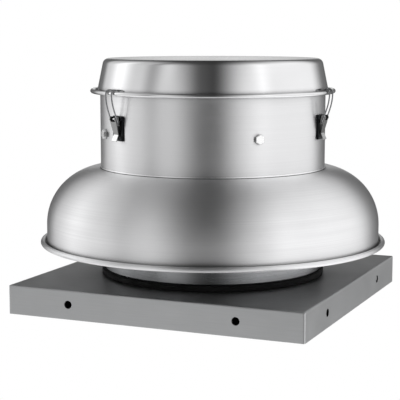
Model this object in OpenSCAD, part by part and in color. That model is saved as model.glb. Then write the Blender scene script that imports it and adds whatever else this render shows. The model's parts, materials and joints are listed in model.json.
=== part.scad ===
// Roof exhaust fan, downblast and direct drive, on a square curb cap.
// Millimetres. The origin is the bottom centre of the curb cap, and +Z is up.
// The curb cap's wide front faces -Y.

/* [Curb cap] */
// Outside width of the square curb cap
curb_w = 480; // [450:5:540]
// Height of the curb cap with its deck
curb_h = 45; // [38:1:70]
// Sheet thickness of the curb cap
curb_sheet = 2; // [1.5:0.1:3]
// Outside bend radius of the curb cap edges
curb_bend_r = 3; // [2:0.5:4]
// Diameter of the fixing holes in the skirt
curb_hole_d = 12; // [6:0.5:14]
// Distance between the two fixing holes of one side
curb_hole_pitch = 272; // [150:2:360]
// Height of the fixing holes above the lower edge
curb_hole_z = 23; // [12:0.5:26]
// Width of the foam seal under the deck
curb_seal_w = 40; // [25:1:45]
// Thickness of the foam seal under the deck
curb_seal_t = 3; // [2:0.5:5]

/* [Gasket and collar] */
// Outside diameter of the black base gasket
gasket_d = 360; // [356:1:380]
// Height of the base gasket
gasket_h = 8.5; // [6:0.5:16]
// Outside diameter of the inlet collar
collar_d = 352; // [350:1:356]
// Height of the inlet collar
collar_h = 46.5; // [36:0.5:60]
// Sheet thickness of the inlet collar
collar_sheet = 2; // [1.5:0.1:2.5]
// Width of the collar's inward flange at its foot
collar_foot_w = 11; // [10:0.5:11]
// Width of the collar's inward flange at its top
collar_lip_w = 8; // [4:0.5:9]
// Number of screws that hold the collar down
collar_screw_count = 8; // [4:4:12]
// Shank diameter of the collar screws
collar_screw_d = 5; // [3:0.5:5]

/* [Inlet cone] */
// Inside diameter of the inlet cone at its throat
throat_d = 184; // [160:2:190]
// Inside diameter of the inlet cone at the deck
mouth_d = 250; // [230:2:252]
// Height of the throat above the collar
throat_rise = 22; // [16:1:26]
// Sheet thickness of the inlet cone
cone_sheet = 1.5; // [1:0.1:2]
// Width of the inlet cone's flange on the deck
cone_flange_w = 12; // [10:0.5:13]
// Number of rivets in the inlet cone's flange
cone_rivet_count = 12; // [6:6:18]
// Shank diameter of the rivets
rivet_d = 4; // [3:0.2:4.8]

/* [Posts and motor plate] */
// Radius of the circle that the four posts stand on
post_ring_r = 154; // [152:0.5:155]
// Diameter of the support posts
post_d = 16; // [12:0.5:17]
// Length of the support posts
post_len = 169; // [160:1:190]
// Diameter of the post bolts
post_bolt_d = 8; // [5:1:8]
// Diameter of the motor plate
plate_d = 344; // [336:1:350]
// Thickness of the motor plate
plate_t = 4; // [3:0.5:6]
// Diameter of the shaft opening in the motor plate
plate_bore_d = 60; // [40:2:70]

/* [Windband] */
// Outside diameter of the windband's straight wall
windband_d = 536; // [520:2:580]
// Height from the middle of the rim bead to the windband's flat top
windband_h = 118.5; // [105:0.5:140]
// Diameter of the windband's flat top, where the dome starts
windband_flat_d = 356; // [352:1:366]
// Sheet thickness of the windband
windband_sheet = 1.5; // [1.2:0.1:2]
// Diameter of the opening in the windband's top
windband_bore_d = 250; // [220:1:280]
// Diameter of the rolled rim bead
rim_bead_d = 7.8; // [5:0.1:10]
// Gap between the wall and the rim bead
rim_gap = 2.6; // [1:0.1:5]

/* [Motor housing] */
// Outside diameter of the motor housing
housing_d = 361; // [358:0.5:366]
// Height of the motor housing
housing_h = 129.2; // [122:0.2:150]
// Sheet thickness of the motor housing
housing_sheet = 1.5; // [1.2:0.1:2]
// Width of the inward flange at the housing's top
housing_lip_w = 9; // [6:0.5:12]
// Height of the neck ring between windband and housing
neck_ring_h = 3.3; // [2.5:0.1:6]
// How far the neck ring stands out from the housing
neck_ring_proud = 1.3; // [0.5:0.1:2]
// Height of the four housing screws above the housing's lower edge
housing_screw_rise = 54.2; // [40:0.2:60]
// Thread diameter of the housing screws
housing_screw_d = 8; // [5:1:8]
// Thickness of the upright housing brackets
bracket_t = 3; // [2:0.2:4]
// Angle that a bracket spans round the housing
bracket_span = 11; // [8:0.5:14]

/* [Top cap] */
// Height from the middle of the cap bead to the cap's top
cap_h = 51.5; // [40:0.5:70]
// Diameter of the cap's wall at the middle of its bead
cap_d = 370; // [369:0.5:374]
// Draft of the cap's wall in degrees
cap_draft = 11.5; // [6:0.5:14]
// Outside radius round the cap's top edge
cap_edge_r = 10; // [6:0.5:16]
// Sheet thickness of the cap
cap_sheet = 1.5; // [1.2:0.1:1.8]
// Diameter of the rolled cap bead
cap_bead_d = 7; // [5:0.1:9]
// Gap between the cap's wall and its bead
cap_bead_gap = 4.3; // [2:0.1:6]
// How far the middle of the bead hangs below the housing's top
cap_overlap = 10; // [8:0.5:12]
// Height of the foam seal between housing and cap
seal_h = 8; // [5:0.5:10]
// Clearance between the foam seal and the cap
seal_gap = 0.35; // [0.3:0.05:0.6]

/* [Latches] */
// Width of a latch base across the housing
latch_base_w = 26; // [24:0.5:30]
// Height of a latch base
latch_base_h = 38; // [36:0.5:44]
// Thickness of a latch base
latch_base_t = 2; // [1.5:0.1:2.5]
// Drop from the cap bead to the lever's pivot
latch_drop = 38.5; // [36:0.5:40]
// Distance of the lever's pivot from the housing wall
pivot_out = 8.1; // [7.8:0.1:9]
// Diameter of the lever's pivot pin
latch_pin_d = 3; // [2:0.1:3.2]
// Outside width of the lever
lever_w = 15.2; // [14:0.1:15.6]
// Sheet thickness of the lever
lever_sheet = 1.4; // [1:0.1:1.6]
// Length of the lever below its pivot
lever_len = 33.5; // [30:0.5:36]
// Diameter of the bail wire
bail_wire_d = 2.2; // [1.6:0.1:2.4]
// Distance between the bail's legs at the lever
bail_foot_w = 18; // [17.9:0.1:19]
// Distance between the bail's legs at the hook
bail_hook_w = 15.8; // [15:0.1:17]
// Clearance of the bail wire over and outside the cap bead
bail_clear = 0.9; // [0.8:0.1:1.2]
// Radial running clearance of the latch pins
pin_clear = 0.05; // [0.02:0.01:0.1]

/* [Wheel] */
// Diameter of the wheel
wheel_d = 270; // [250:2:272]
// Number of blades
blade_count = 10; // [8:1:14]
// Blade width at the wheel's rim
blade_tip_h = 56; // [48:1:60]
// Thickness of the blades
blade_t = 2; // [1.5:0.1:3]
// Lean of the blades from the radial direction in degrees
blade_lean = 50; // [35:1:55]
// Gap between the wheel's back plate and the windband's flat top
wheel_gap = 16; // [12:0.5:20]
// Thickness of the back plate
back_plate_t = 2; // [1.5:0.1:3]
// Thickness of the shroud
shroud_sheet = 1.5; // [1:0.1:2]
// Running gap between inlet cone and shroud
wheel_clear = 2.5; // [2:0.1:4]
// How far the shroud's lip hangs over the inlet cone
lip_overlap = 6; // [3:0.5:8]
// Height of the shroud's straight lip
lip_h = 12; // [8:0.5:14]
// Diameter of the hub
hub_d = 42; // [36:1:50]
// Length of the hub
hub_h = 31; // [26:1:40]
// Diameter of the hub's flange
hub_flange_d = 70; // [62:1:80]
// Thickness of the hub's flange
hub_flange_t = 4; // [3:0.5:6]

/* [Motor] */
// Outside diameter of the motor
motor_d = 154; // [146:1:158]
// Height of the rubber isolators
isolator_h = 12; // [10:0.5:16]
// Diameter of the rubber isolators
isolator_d = 22; // [18:0.5:24]
// Radius of the circle of the isolators
isolator_ring_r = 58; // [56:0.5:59]
// Diameter of the motor's mounting bolts
mount_bolt_d = 6; // [4:1:6]
// Height of each end bell
bell_h = 30; // [28:0.5:34]
// Height of the motor shell between the end bells
shell_h = 52; // [50:1:70]
// Wall thickness of the motor shell
shell_t = 2; // [1.5:0.1:3]
// Wall thickness of the end bells
bell_wall = 8; // [6:0.5:8]
// Floor thickness of the end bells
bell_floor = 6; // [5:0.5:7]
// Height of the stator core
core_h = 40; // [34:1:42]
// Inside diameter of the stator core
core_bore_d = 90; // [80:1:92]
// Air gap between rotor and stator
air_gap = 0.5; // [0.3:0.1:0.8]
// Section diameter of the winding heads
winding_d = 14; // [10:0.5:14]
// Diameter of the shaft
shaft_d = 17; // [15:0.5:18]
// Outside diameter of the bearings
bearing_d = 40; // [36:1:42]
// Height of the bearings
bearing_h = 12; // [10:0.5:13]
// Radial running clearance of the shaft in its bearings
bearing_clear = 0.05; // [0.02:0.01:0.1]
// Diameter of the motor's tie bolts
tie_bolt_d = 6; // [4:1:6]

/* [Wiring] */
// Outside diameter of the conduit tube
conduit_d = 22; // [16:1:22]
// Wall thickness of the conduit tube
conduit_wall = 2; // [1.2:0.1:2.5]
// How far the conduit tube hangs below the deck
conduit_tail = 15; // [10:1:18]
// How far the conduit tube stands above the motor plate
conduit_rise = 16; // [8:1:20]
// Distance of the conduit tube from the fan's axis
conduit_ring_r = 153; // [151:0.5:154]
// Width of the terminal box round the motor
terminal_w = 50; // [44:1:56]
// Height of the terminal box
terminal_h = 42; // [36:1:44]
// Distance that the terminal box stands out from the motor
terminal_out = 26; // [22:1:30]
// Width of the disconnect box round the motor
switch_w = 60; // [50:1:64]
// Depth of the disconnect box
switch_d = 42; // [36:1:42]
// Height of the disconnect box
switch_h = 90; // [84:1:100]
// Height of the toggle's axis above the motor plate
toggle_rise = 61; // [50:1:66]
// Wall thickness of the electrical boxes
box_wall = 2; // [1.5:0.1:3]
// Diameter of the motor cable
cable_d = 8; // [6:0.5:9]
// Diameter of the run capacitor
capacitor_d = 44; // [34:1:44]
// Height of the run capacitor
capacitor_h = 85; // [60:1:100]
// Width of the capacitor's strap
strap_w = 12; // [8:1:16]
// Sheet thickness of the capacitor's strap
strap_t = 1.5; // [1:0.1:2]

/* [Hidden] */
$fn = 96;

// Overshoot of a cut past the face that it opens
cut = 1;
// Overlap of two shapes that are joined into one solid
join = 0.1;
// Radial clearance of a bolt or rivet in its hole
bolt_fit = 0.2;
// Radial clearance of a screw in its tapped hole, and of pieces that seat in each other
seat_fit = 0.05;
// Latches stand at these angles from +X, and the posts between the curb cap's sides
latch_angles = [0, 120, 240];
post_angles = [45, 135, 225, 315];
conduit_angle = 90;

// Heights of the stack, from the curb cap up
deck_z = curb_h;
deck_under = deck_z - curb_sheet;
collar_z = deck_z + gasket_h;
collar_top = collar_z + collar_h;
throat_z = collar_top + throat_rise;
flange_z = deck_z + post_len;
windband_top = flange_z + windband_sheet;
plate_z = windband_top;
plate_top = plate_z + plate_t;
housing_z = windband_top + neck_ring_h;
housing_top = housing_z + housing_h;
housing_screw_z = housing_z + housing_screw_rise;
cap_bead_z = housing_top - cap_overlap;
cap_top = cap_bead_z + cap_h;

// How far a bracket reaches past its bolt, inwards and upwards
bracket_margin = 8;
bracket_rise = 14;

// Widths and radii of the shells
curb_inner_w = curb_w - 2 * curb_sheet;
collar_r = collar_d / 2;
housing_r = housing_d / 2;
housing_inner_r = housing_r - housing_sheet;
windband_r = windband_d / 2;
dome_r = windband_r - windband_flat_d / 2;
rim_bead_r = windband_r + rim_gap + rim_bead_d / 2;
rim_z = windband_top - windband_h;
throat_r = throat_d / 2;
mouth_r = mouth_d / 2;
collar_screw_ring_r = collar_r - collar_sheet - (collar_foot_w - collar_sheet) / 2;
collar_screw_first = 180 / collar_screw_count;
cone_rivet_ring_r = mouth_r + cone_flange_w / 2;
// How far screws and post bolts reach past the sheet that they hold
collar_screw_tail = 2;
post_bolt_reach = 2.5 * post_bolt_d;
post_thread = 1.5 * post_bolt_reach;
housing_screw_reach = 10;

// The inlet cone's wall is an arc that stands upright at the throat
cone_rise = throat_z - deck_z;
cone_run = mouth_r - throat_r;
cone_turn = 2 * atan(cone_run / cone_rise);
cone_arc_r = cone_rise / sin(cone_turn);

// Hexagon heads by thread diameter
function hex_af(d) = 1.625 * d;
function head_h(d) = 0.65 * d;

// Cap: the wall's radius at any height, and the arc round its top edge
function cap_wall_r(z) = cap_d / 2 - (z - cap_bead_z) * tan(cap_draft);
cap_bead_r = cap_d / 2 + cap_bead_gap + cap_bead_d / 2;
cap_foot_z = cap_bead_z - cap_bead_d / 2;
cap_edge_z = cap_top - cap_edge_r;
cap_edge_mid_r = cap_wall_r(cap_edge_z) - cap_edge_r / cos(cap_draft);

// Latch places in the plane through the fan's axis, as [radius, height]
pivot = [housing_r + pivot_out, cap_bead_z - latch_drop];
bail_foot_offset = [-2.2, -7.2];
bail_foot = pivot + bail_foot_offset;
bail_out_u = cap_bead_r + cap_bead_d / 2 + bail_clear + bail_wire_d / 2;
bail_top_z = cap_bead_z + cap_bead_d / 2 + bail_clear + bail_wire_d / 2;
bail_hook_u = cap_bead_r - cap_bead_d / 2;
bail_bend_r = 6;
bail_corner_r = 3;
lever_inner_w = lever_w - 2 * lever_sheet;
ear_gap = 0.3;
ear_w = lever_inner_w - 2 * ear_gap;
ear_t = 1.6;
ear_r = 3.2;
ear_drop = 0.4;
latch_base_margin = 1.2;
latch_base_top = pivot[1] + ear_r + latch_base_margin;
latch_base_z = latch_base_top - latch_base_h;
latch_base_out = housing_r + latch_base_t;
latch_rivet_side = 3.4;
latch_rivet_inset = 4.5;
latch_rivet_drop = 3.9;
latch_rivet_v = latch_base_w / 2 - latch_rivet_side;
latch_rivet_top_z = latch_base_top - latch_rivet_drop;

// Wheel heights
back_plate_z = flange_z - wheel_gap - back_plate_t;
wheel_r = wheel_d / 2;
shroud_r = throat_r + cone_sheet + wheel_clear;
lip_z = throat_z - lip_overlap;
shroud_tip_z = back_plate_z - blade_tip_h;
shroud_in_z = lip_z + lip_h;
hub_z = back_plate_z - hub_h;
hub_rivet_count = 6;
hub_rivet_ring_r = (hub_d + hub_flange_d) / 4;
plate_hole_gap = 0.5;
key_w = 5;
key_h = 5;
key_inner = shaft_d / 2 - key_h / 2;
set_screw_d = 8;
set_screw_z = hub_z + hub_h / 3;

// Motor heights
motor_z = plate_top + isolator_h;
motor_r = motor_d / 2;
shell_z = motor_z + bell_h;
upper_bell_z = shell_z + shell_h;
motor_top = upper_bell_z + bell_h;
mount_thread = 14;
bearing_floor = 4;
core_z = shell_z + (shell_h - core_h) / 2;
core_r = motor_r - shell_t - seat_fit;
winding_ring_r = (core_bore_d / 2 + core_r) / 2;
lower_bearing_z = motor_z + bearing_floor;
upper_bearing_z = motor_top - bell_floor - bearing_h;
tie_ear_d = 14;
tie_ear_inset = 1;
tie_ear_sink = 2;
tie_ring_r = motor_r + tie_ear_d / 2 - tie_ear_sink;
shaft_tail = 5;
shaft_z = hub_z - shaft_tail;
shaft_end = 2;
shaft_top = motor_top + shaft_end;
circlip_t = 1.2;
circlip_w = 3;
circlip_depth = 0.5;
circlip_gap = 0.3;
lower_circlip_z = lower_bearing_z + bearing_h + circlip_gap;
upper_circlip_z = upper_bearing_z - circlip_t - circlip_gap;

// Electrical boxes, which stand round the motor
terminal_z = shell_z + (shell_h - terminal_h) / 2;
terminal_face = motor_r + terminal_out;
terminal_port_z = terminal_z + terminal_h / 2;
terminal_port_y = motor_r + 0.58 * terminal_out;
lid_t = 2;
switch_gap = 11;
capacitor_gap = 5;
switch_x = motor_r + switch_gap;
switch_face = switch_x + switch_d;
switch_port_x = switch_x + switch_d / 2;
cable_bend_r = 20;
cable_tail = 4;
bend_join = 0.01;
gland_len = 12;
gland_d = 14;
gland_nut_h = 5;
toggle_z = plate_top + toggle_rise;
toggle_inset = 3;
toggle_x = switch_face - toggle_inset;
toggle_r = 5;
toggle_w = 10;
toggle_gap = 0.5;
toggle_stub_d = 4;
toggle_ear_w = 4;
toggle_lever_d = 7;
toggle_len = 22;
toggle_lean = 20;
capacitor_x = motor_r + capacitor_gap + capacitor_d / 2;
strap_z = plate_top + 0.4 * capacitor_h;
strap_foot = strap_w / 2;

// Shared shapes
module disc(r, z, h) {
    translate([0, 0, z]) cylinder(r = r, h = h);
}

module ring(outer_r, inner_r, z, h) {
    difference() {
        disc(outer_r, z, h);
        disc(inner_r, z - cut, h + 2 * cut);
    }
}

module around(count, first = 0) {
    for (i = [0 : count - 1]) rotate(first + 360 * i / count) children();
}

module at_polar(r, angle) {
    rotate(angle) translate([r, 0, 0]) children();
}

module hex_block(af, z, h) {
    translate([0, 0, z]) cylinder(d = af / cos(30), h = h, $fn = 6);
}

module drill(d, z, h) {
    translate([0, 0, z]) cylinder(d = d, h = h);
}

// A bar along +X from radius r0 to r1 at height z
module radial_bar(d, r0, r1, z) {
    translate([r0, 0, z]) rotate([0, 90, 0]) cylinder(d = d, h = r1 - r0);
}

// A low domed rivet head that rises from height 0
module rivet_head(d) {
    rotate_extrude() intersection() {
        translate([0, -d * 0.6]) circle(r = d * 1.17);
        square([d, d]);
    }
}

// Curb cap
module curb_profile() {
    union() {
        translate([-curb_w / 2, 0]) square([curb_w, curb_h - curb_bend_r]);
        translate([-curb_w / 2 + curb_bend_r, 0]) square([curb_w - 2 * curb_bend_r, curb_h]);
        for (side = [-1, 1])
            translate([side * (curb_w / 2 - curb_bend_r), curb_h - curb_bend_r]) circle(r = curb_bend_r);
    }
}

module curb_plan() {
    union() {
        square([curb_w, curb_w - 2 * curb_bend_r], center = true);
        square([curb_w - 2 * curb_bend_r, curb_w], center = true);
        for (x = [-1, 1], y = [-1, 1])
            translate([x, y] * (curb_w / 2 - curb_bend_r)) circle(r = curb_bend_r);
    }
}

module curb_block() {
    intersection() {
        translate([0, curb_w / 2, 0]) rotate([90, 0, 0]) linear_extrude(curb_w) curb_profile();
        translate([-curb_w / 2, 0, 0]) rotate([90, 0, 90]) linear_extrude(curb_w) curb_profile();
        linear_extrude(curb_h) curb_plan();
    }
}

module skirt_holes() {
    for (turn = [0, 90], side = [-1, 1])
        rotate(turn) translate([side * curb_hole_pitch / 2, -curb_w / 2 - cut, curb_hole_z])
            rotate([-90, 0, 0]) cylinder(d = curb_hole_d, h = curb_w + 2 * cut);
}

module square_block(w, z, h) {
    translate([-w / 2, -w / 2, z]) cube([w, w, h]);
}

module curb_cap() {
    color("gainsboro") difference() {
        curb_block();
        square_block(curb_inner_w, -cut, deck_under + cut);
        skirt_holes();
        disc(mouth_r, 0, curb_h + cut);
        post_holes(deck_under - cut, curb_sheet + 2 * cut);
        collar_screw_holes(deck_under - cut, curb_sheet + 2 * cut);
        cone_rivet_holes(deck_under - cut, curb_sheet + 2 * cut);
        conduit_hole(deck_under - cut, curb_sheet + 2 * cut);
    }
}

// Foam seal that the fan rests on, glued under the deck along the skirt
module curb_seal() {
    outer_w = curb_inner_w - 2 * seat_fit;
    color("#2f2f31") difference() {
        square_block(outer_w, deck_under - curb_seal_t, curb_seal_t);
        square_block(outer_w - 2 * curb_seal_w, deck_under - curb_seal_t - cut, curb_seal_t + 2 * cut);
    }
}

module post_holes(z, h) {
    for (a = post_angles) at_polar(post_ring_r, a) drill(post_bolt_d + 2 * bolt_fit, z, h);
}

module collar_screw_holes(z, h) {
    around(collar_screw_count, collar_screw_first)
        translate([collar_screw_ring_r, 0, 0]) drill(collar_screw_d + 2 * bolt_fit, z, h);
}

module cone_rivet_holes(z, h) {
    around(cone_rivet_count) translate([cone_rivet_ring_r, 0, 0]) drill(rivet_d + 2 * seat_fit, z, h);
}

module conduit_hole(z, h) {
    at_polar(conduit_ring_r, conduit_angle) drill(conduit_d + 2 * bolt_fit, z, h);
}

// Gasket and collar
module base_gasket() {
    color("#1b1b1c") difference() {
        ring(gasket_d / 2, collar_r - collar_foot_w, deck_z, gasket_h);
        collar_screw_holes(deck_z - cut, gasket_h + 2 * cut);
    }
}

module inlet_collar() {
    color("silver") difference() {
        rotate_extrude() union() {
            translate([collar_r - collar_sheet, collar_z]) square([collar_sheet, collar_h]);
            translate([collar_r - collar_foot_w, collar_z])
                square([collar_foot_w, collar_sheet]);
            translate([collar_r - collar_lip_w, collar_top - collar_sheet])
                square([collar_lip_w, collar_sheet]);
        }
        collar_screw_holes(collar_z - cut, collar_sheet + 2 * cut);
    }
}

module collar_screws() {
    head_z = collar_z + collar_sheet;
    tail_z = deck_under - collar_screw_tail;
    color("dimgray") around(collar_screw_count, collar_screw_first)
        translate([collar_screw_ring_r, 0, 0]) union() {
            drill(collar_screw_d * 1.6, head_z, collar_screw_d * 0.6);
            drill(collar_screw_d, tail_z, head_z - tail_z + join);
        }
}

// Inlet cone
module inlet_cone() {
    color("silver") difference() {
        rotate_extrude() union() {
            translate([mouth_r, deck_z]) square([cone_flange_w, cone_sheet]);
            intersection() {
                translate([throat_r + cone_arc_r, throat_z]) difference() {
                    circle(r = cone_arc_r);
                    circle(r = cone_arc_r - cone_sheet);
                }
                translate([throat_r - cut, deck_z]) square([cone_arc_r, cone_rise]);
            }
        }
        cone_rivet_holes(deck_z - cut, cone_sheet + 2 * cut);
    }
}

module cone_rivets() {
    grip = curb_sheet + cone_sheet;
    color("gray") around(cone_rivet_count) translate([cone_rivet_ring_r, 0, deck_z + cone_sheet]) union() {
        rivet_head(rivet_d);
        drill(rivet_d, -grip - join, grip + 2 * join);
        translate([0, 0, -grip]) mirror([0, 0, 1]) rivet_head(rivet_d);
    }
}

// Posts and motor plate
module support_posts() {
    color("gainsboro") for (a = post_angles) at_polar(post_ring_r, a) difference() {
        drill(post_d, deck_z, post_len);
        drill(post_bolt_d + 2 * seat_fit, deck_z - cut, post_thread + cut);
        drill(post_bolt_d + 2 * seat_fit, flange_z - post_thread, post_thread + cut);
    }
}

module lower_post_bolts() {
    seat = deck_under;
    color("dimgray") for (a = post_angles) at_polar(post_ring_r, a) union() {
        hex_block(hex_af(post_bolt_d), seat - head_h(post_bolt_d), head_h(post_bolt_d));
        drill(post_bolt_d, seat - join, curb_sheet + post_bolt_reach);
    }
}

module upper_post_bolts() {
    seat = plate_top + bracket_t;
    tip_z = flange_z - post_bolt_reach;
    color("dimgray") for (a = post_angles) at_polar(post_ring_r, a) union() {
        hex_block(hex_af(post_bolt_d), seat, head_h(post_bolt_d));
        drill(post_bolt_d, tip_z, seat - tip_z + join);
    }
}

module motor_plate() {
    color("gray") difference() {
        disc(plate_d / 2, plate_z, plate_t);
        drill(plate_bore_d, plate_z - cut, plate_t + 2 * cut);
        post_holes(plate_z - cut, plate_t + 2 * cut);
        conduit_hole(plate_z - cut, plate_t + 2 * cut);
        around(4) translate([isolator_ring_r, 0, 0])
            drill(mount_bolt_d + 2 * bolt_fit, plate_z - cut, plate_t + 2 * cut);
    }
}

// Windband
module windband_section() {
    dome_mid = [windband_r - dome_r, windband_top - dome_r];
    wall_foot = rim_z - rim_bead_d / 2;
    union() {
        translate(dome_mid) intersection() {
            difference() {
                circle(r = dome_r);
                circle(r = dome_r - windband_sheet);
            }
            square(dome_r + cut);
        }
        translate([windband_r - windband_sheet, wall_foot])
            square([windband_sheet, dome_mid[1] - wall_foot]);
        translate([windband_bore_d / 2, windband_top - windband_sheet])
            square([dome_mid[0] - windband_bore_d / 2, windband_sheet]);
        translate([windband_r - windband_sheet, wall_foot])
            square([rim_bead_r - windband_r + windband_sheet, windband_sheet]);
        translate([rim_bead_r, rim_z]) circle(d = rim_bead_d);
    }
}

module windband() {
    color("lightgray") difference() {
        rotate_extrude($fn = 180) windband_section();
        post_holes(flange_z - cut, windband_sheet + 2 * cut);
        conduit_hole(flange_z - cut, windband_sheet + 2 * cut);
    }
}

// Neck ring, with a lip between two recessed edges
module neck_ring() {
    color("silver") rotate_extrude() union() {
        translate([housing_inner_r, windband_top]) square([housing_sheet, neck_ring_h]);
        translate([housing_inner_r, windband_top + neck_ring_h * 0.25])
            square([housing_sheet + neck_ring_proud, neck_ring_h * 0.5]);
    }
}

// Upright brackets that tie the housing to the motor plate
module housing_brackets() {
    back_r = housing_inner_r - seat_fit;
    foot_r = post_ring_r - bracket_margin;
    top_z = housing_screw_z + bracket_rise;
    color("gray") for (a = post_angles) rotate(a) difference() {
        rotate(-bracket_span / 2) rotate_extrude(angle = bracket_span) union() {
            translate([foot_r, plate_top]) square([back_r - foot_r, bracket_t]);
            translate([back_r - bracket_t, plate_top]) square([bracket_t, top_z - plate_top]);
        }
        translate([post_ring_r, 0, 0])
            drill(post_bolt_d + 2 * bolt_fit, plate_top - cut, bracket_t + 2 * cut);
        radial_bar(housing_screw_d + 2 * bolt_fit, foot_r, housing_r + cut, housing_screw_z);
    }
}

// Motor housing
module wall_hole(d, z) {
    radial_bar(d, housing_inner_r - 2 * cut, housing_r + cut, z);
}

module motor_housing() {
    color("lightgray") difference() {
        rotate_extrude() union() {
            translate([housing_inner_r, housing_z]) square([housing_sheet, housing_h]);
            translate([housing_r - housing_lip_w, housing_top - housing_sheet])
                square([housing_lip_w, housing_sheet]);
        }
        for (a = post_angles) rotate(a)
            wall_hole(housing_screw_d + 2 * bolt_fit, housing_screw_z);
        latch_rivet_places() wall_hole(rivet_d + 2 * seat_fit, 0);
    }
}

// Inner face of a bracket where a flat nut seats on it
function nut_seat() =
    sqrt(pow(housing_inner_r - seat_fit - bracket_t, 2) - pow(hex_af(housing_screw_d) / cos(30) / 2, 2));

module housing_screws() {
    color("silver") for (a = post_angles) rotate(a) union() {
        translate([housing_r, 0, housing_screw_z]) rotate([0, 90, 0])
            hex_block(hex_af(housing_screw_d), 0, head_h(housing_screw_d));
        radial_bar(housing_screw_d, nut_seat() - housing_screw_reach, housing_r + join, housing_screw_z);
    }
}

module housing_nuts() {
    nut_h = housing_screw_d * 0.8;
    color("dimgray") for (a = post_angles) rotate(a) translate([nut_seat() - nut_h, 0, housing_screw_z])
        rotate([0, 90, 0]) difference() {
            hex_block(hex_af(housing_screw_d), 0, nut_h);
            drill(housing_screw_d + 2 * seat_fit, -cut, nut_h + 2 * cut);
        }
}

// Foam seal, a wedge between the housing's lip and the cap's wall
function cap_inner_r(z) = cap_wall_r(z) - cap_sheet / cos(cap_draft);

module cap_seal() {
    inner_r = housing_r - housing_lip_w;
    seal_top = housing_top + seal_h;
    color("#2a2a2b") rotate_extrude() polygon([
        [inner_r, housing_top],
        [min(housing_r, cap_inner_r(housing_top) - seal_gap), housing_top],
        [cap_inner_r(seal_top) - seal_gap, seal_top],
        [inner_r, seal_top]
    ]);
}

// Top cap
module cap_section(inset) {
    foot_z = inset > 0 ? cap_foot_z - cut : cap_foot_z;
    foot_r = cap_wall_r(foot_z) - inset / cos(cap_draft);
    edge_mid = [cap_edge_mid_r, cap_edge_z];
    edge_r = cap_edge_r - inset;
    union() {
        polygon([
            [0, foot_z],
            [foot_r, foot_z],
            edge_mid + edge_r * [cos(cap_draft), sin(cap_draft)],
            edge_mid,
            [cap_edge_mid_r, cap_top - inset],
            [0, cap_top - inset]
        ]);
        intersection() {
            translate(edge_mid) circle(r = edge_r);
            translate([cap_edge_mid_r - cut, cap_edge_z]) square(cap_edge_r + cut);
        }
    }
}

module top_cap() {
    curl_r = cap_wall_r(cap_foot_z) - cap_sheet;
    color("whitesmoke") rotate_extrude() union() {
        difference() {
            cap_section(0);
            cap_section(cap_sheet);
        }
        translate([curl_r, cap_foot_z]) square([cap_bead_r - curl_r, cap_sheet]);
        translate([cap_bead_r, cap_bead_z]) circle(d = cap_bead_d);
    }
}

// Conduit tube for the supply wires
module conduit_tube() {
    foot_z = deck_z - conduit_tail;
    top_z = plate_top + conduit_rise;
    color("gray") at_polar(conduit_ring_r, conduit_angle)
        ring(conduit_d / 2, conduit_d / 2 - conduit_wall, foot_z, top_z - foot_z);
}

module conduit_locknuts() {
    nut_h = 4;
    nut_wall = 3;
    color("silver") at_polar(conduit_ring_r, conduit_angle)
        for (z = [deck_under - nut_h, plate_top]) difference() {
            hex_block(conduit_d + 2 * nut_wall, z, nut_h);
            drill(conduit_d + 2 * seat_fit, z - cut, nut_h + 2 * cut);
        }
}

// Motor
module motor_isolators() {
    color("#222222") around(4) translate([isolator_ring_r, 0, 0])
        ring(isolator_d / 2, mount_bolt_d / 2 + bolt_fit, plate_top, isolator_h);
}

module motor_mount_bolts() {
    color("dimgray") around(4) translate([isolator_ring_r, 0, 0]) union() {
        hex_block(hex_af(mount_bolt_d), plate_z - head_h(mount_bolt_d), head_h(mount_bolt_d));
        drill(mount_bolt_d, plate_z - join, motor_z - plate_z + mount_thread);
    }
}

module motor_shell() {
    color("#4c5a66") ring(motor_r, motor_r - shell_t, shell_z, shell_h);
}

// An end bell that opens upwards from height 0
module end_bell(seat_z) {
    boss_wall = 6;
    shaft_gap = 1.5;
    difference() {
        union() {
            ring(motor_r, motor_r - bell_wall, 0, bell_h);
            disc(motor_r - bell_wall / 2, 0, bell_floor);
            disc(bearing_d / 2 + boss_wall, 0, seat_z + bearing_h);
            around(4, 45) translate([tie_ring_r, 0, tie_ear_inset])
                drill(tie_ear_d, 0, bell_h - 2 * tie_ear_inset);
        }
        disc(shaft_d / 2 + shaft_gap, -cut, bell_h);
        disc(bearing_d / 2 + seat_fit, seat_z, bearing_h + cut);
        around(4, 45) translate([tie_ring_r, 0, 0])
            drill(tie_bolt_d + 2 * bolt_fit, -cut, bell_h + 2 * cut);
    }
}

module lower_end_bell() {
    boss_d = 2.6 * mount_bolt_d;
    hole_depth = mount_thread + 2;
    boss_top = 4;
    color("#5a6670") translate([0, 0, motor_z]) difference() {
        union() {
            end_bell(lower_bearing_z - motor_z);
            around(4) translate([isolator_ring_r, 0, 0]) drill(boss_d, 0, hole_depth + boss_top);
        }
        around(4) translate([isolator_ring_r, 0, 0])
            drill(mount_bolt_d + 2 * seat_fit, -cut, hole_depth + cut);
    }
}

module upper_end_bell() {
    vent_w = 6;
    vent_gap = 10;
    vent_r0 = bearing_d / 2 + vent_gap;
    vent_r1 = motor_r - bell_wall - vent_w;
    color("#5a6670") translate([0, 0, motor_top]) mirror([0, 0, 1]) difference() {
        end_bell(bell_floor);
        around(12, 15) translate([0, 0, -cut]) linear_extrude(bell_floor + 2 * cut) union() {
            translate([vent_r0, -vent_w / 2]) square([vent_r1 - vent_r0, vent_w]);
            for (r = [vent_r0, vent_r1]) translate([r, 0]) circle(d = vent_w);
        }
    }
}

module stator_core() {
    color("#6f7378") ring(core_r, core_bore_d / 2, core_z, core_h);
}

module stator_windings() {
    color("#b4622b") for (z = [core_z - winding_d / 2, core_z + core_h + winding_d / 2])
        translate([0, 0, z]) rotate_extrude() translate([winding_ring_r, 0]) circle(d = winding_d);
}

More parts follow.
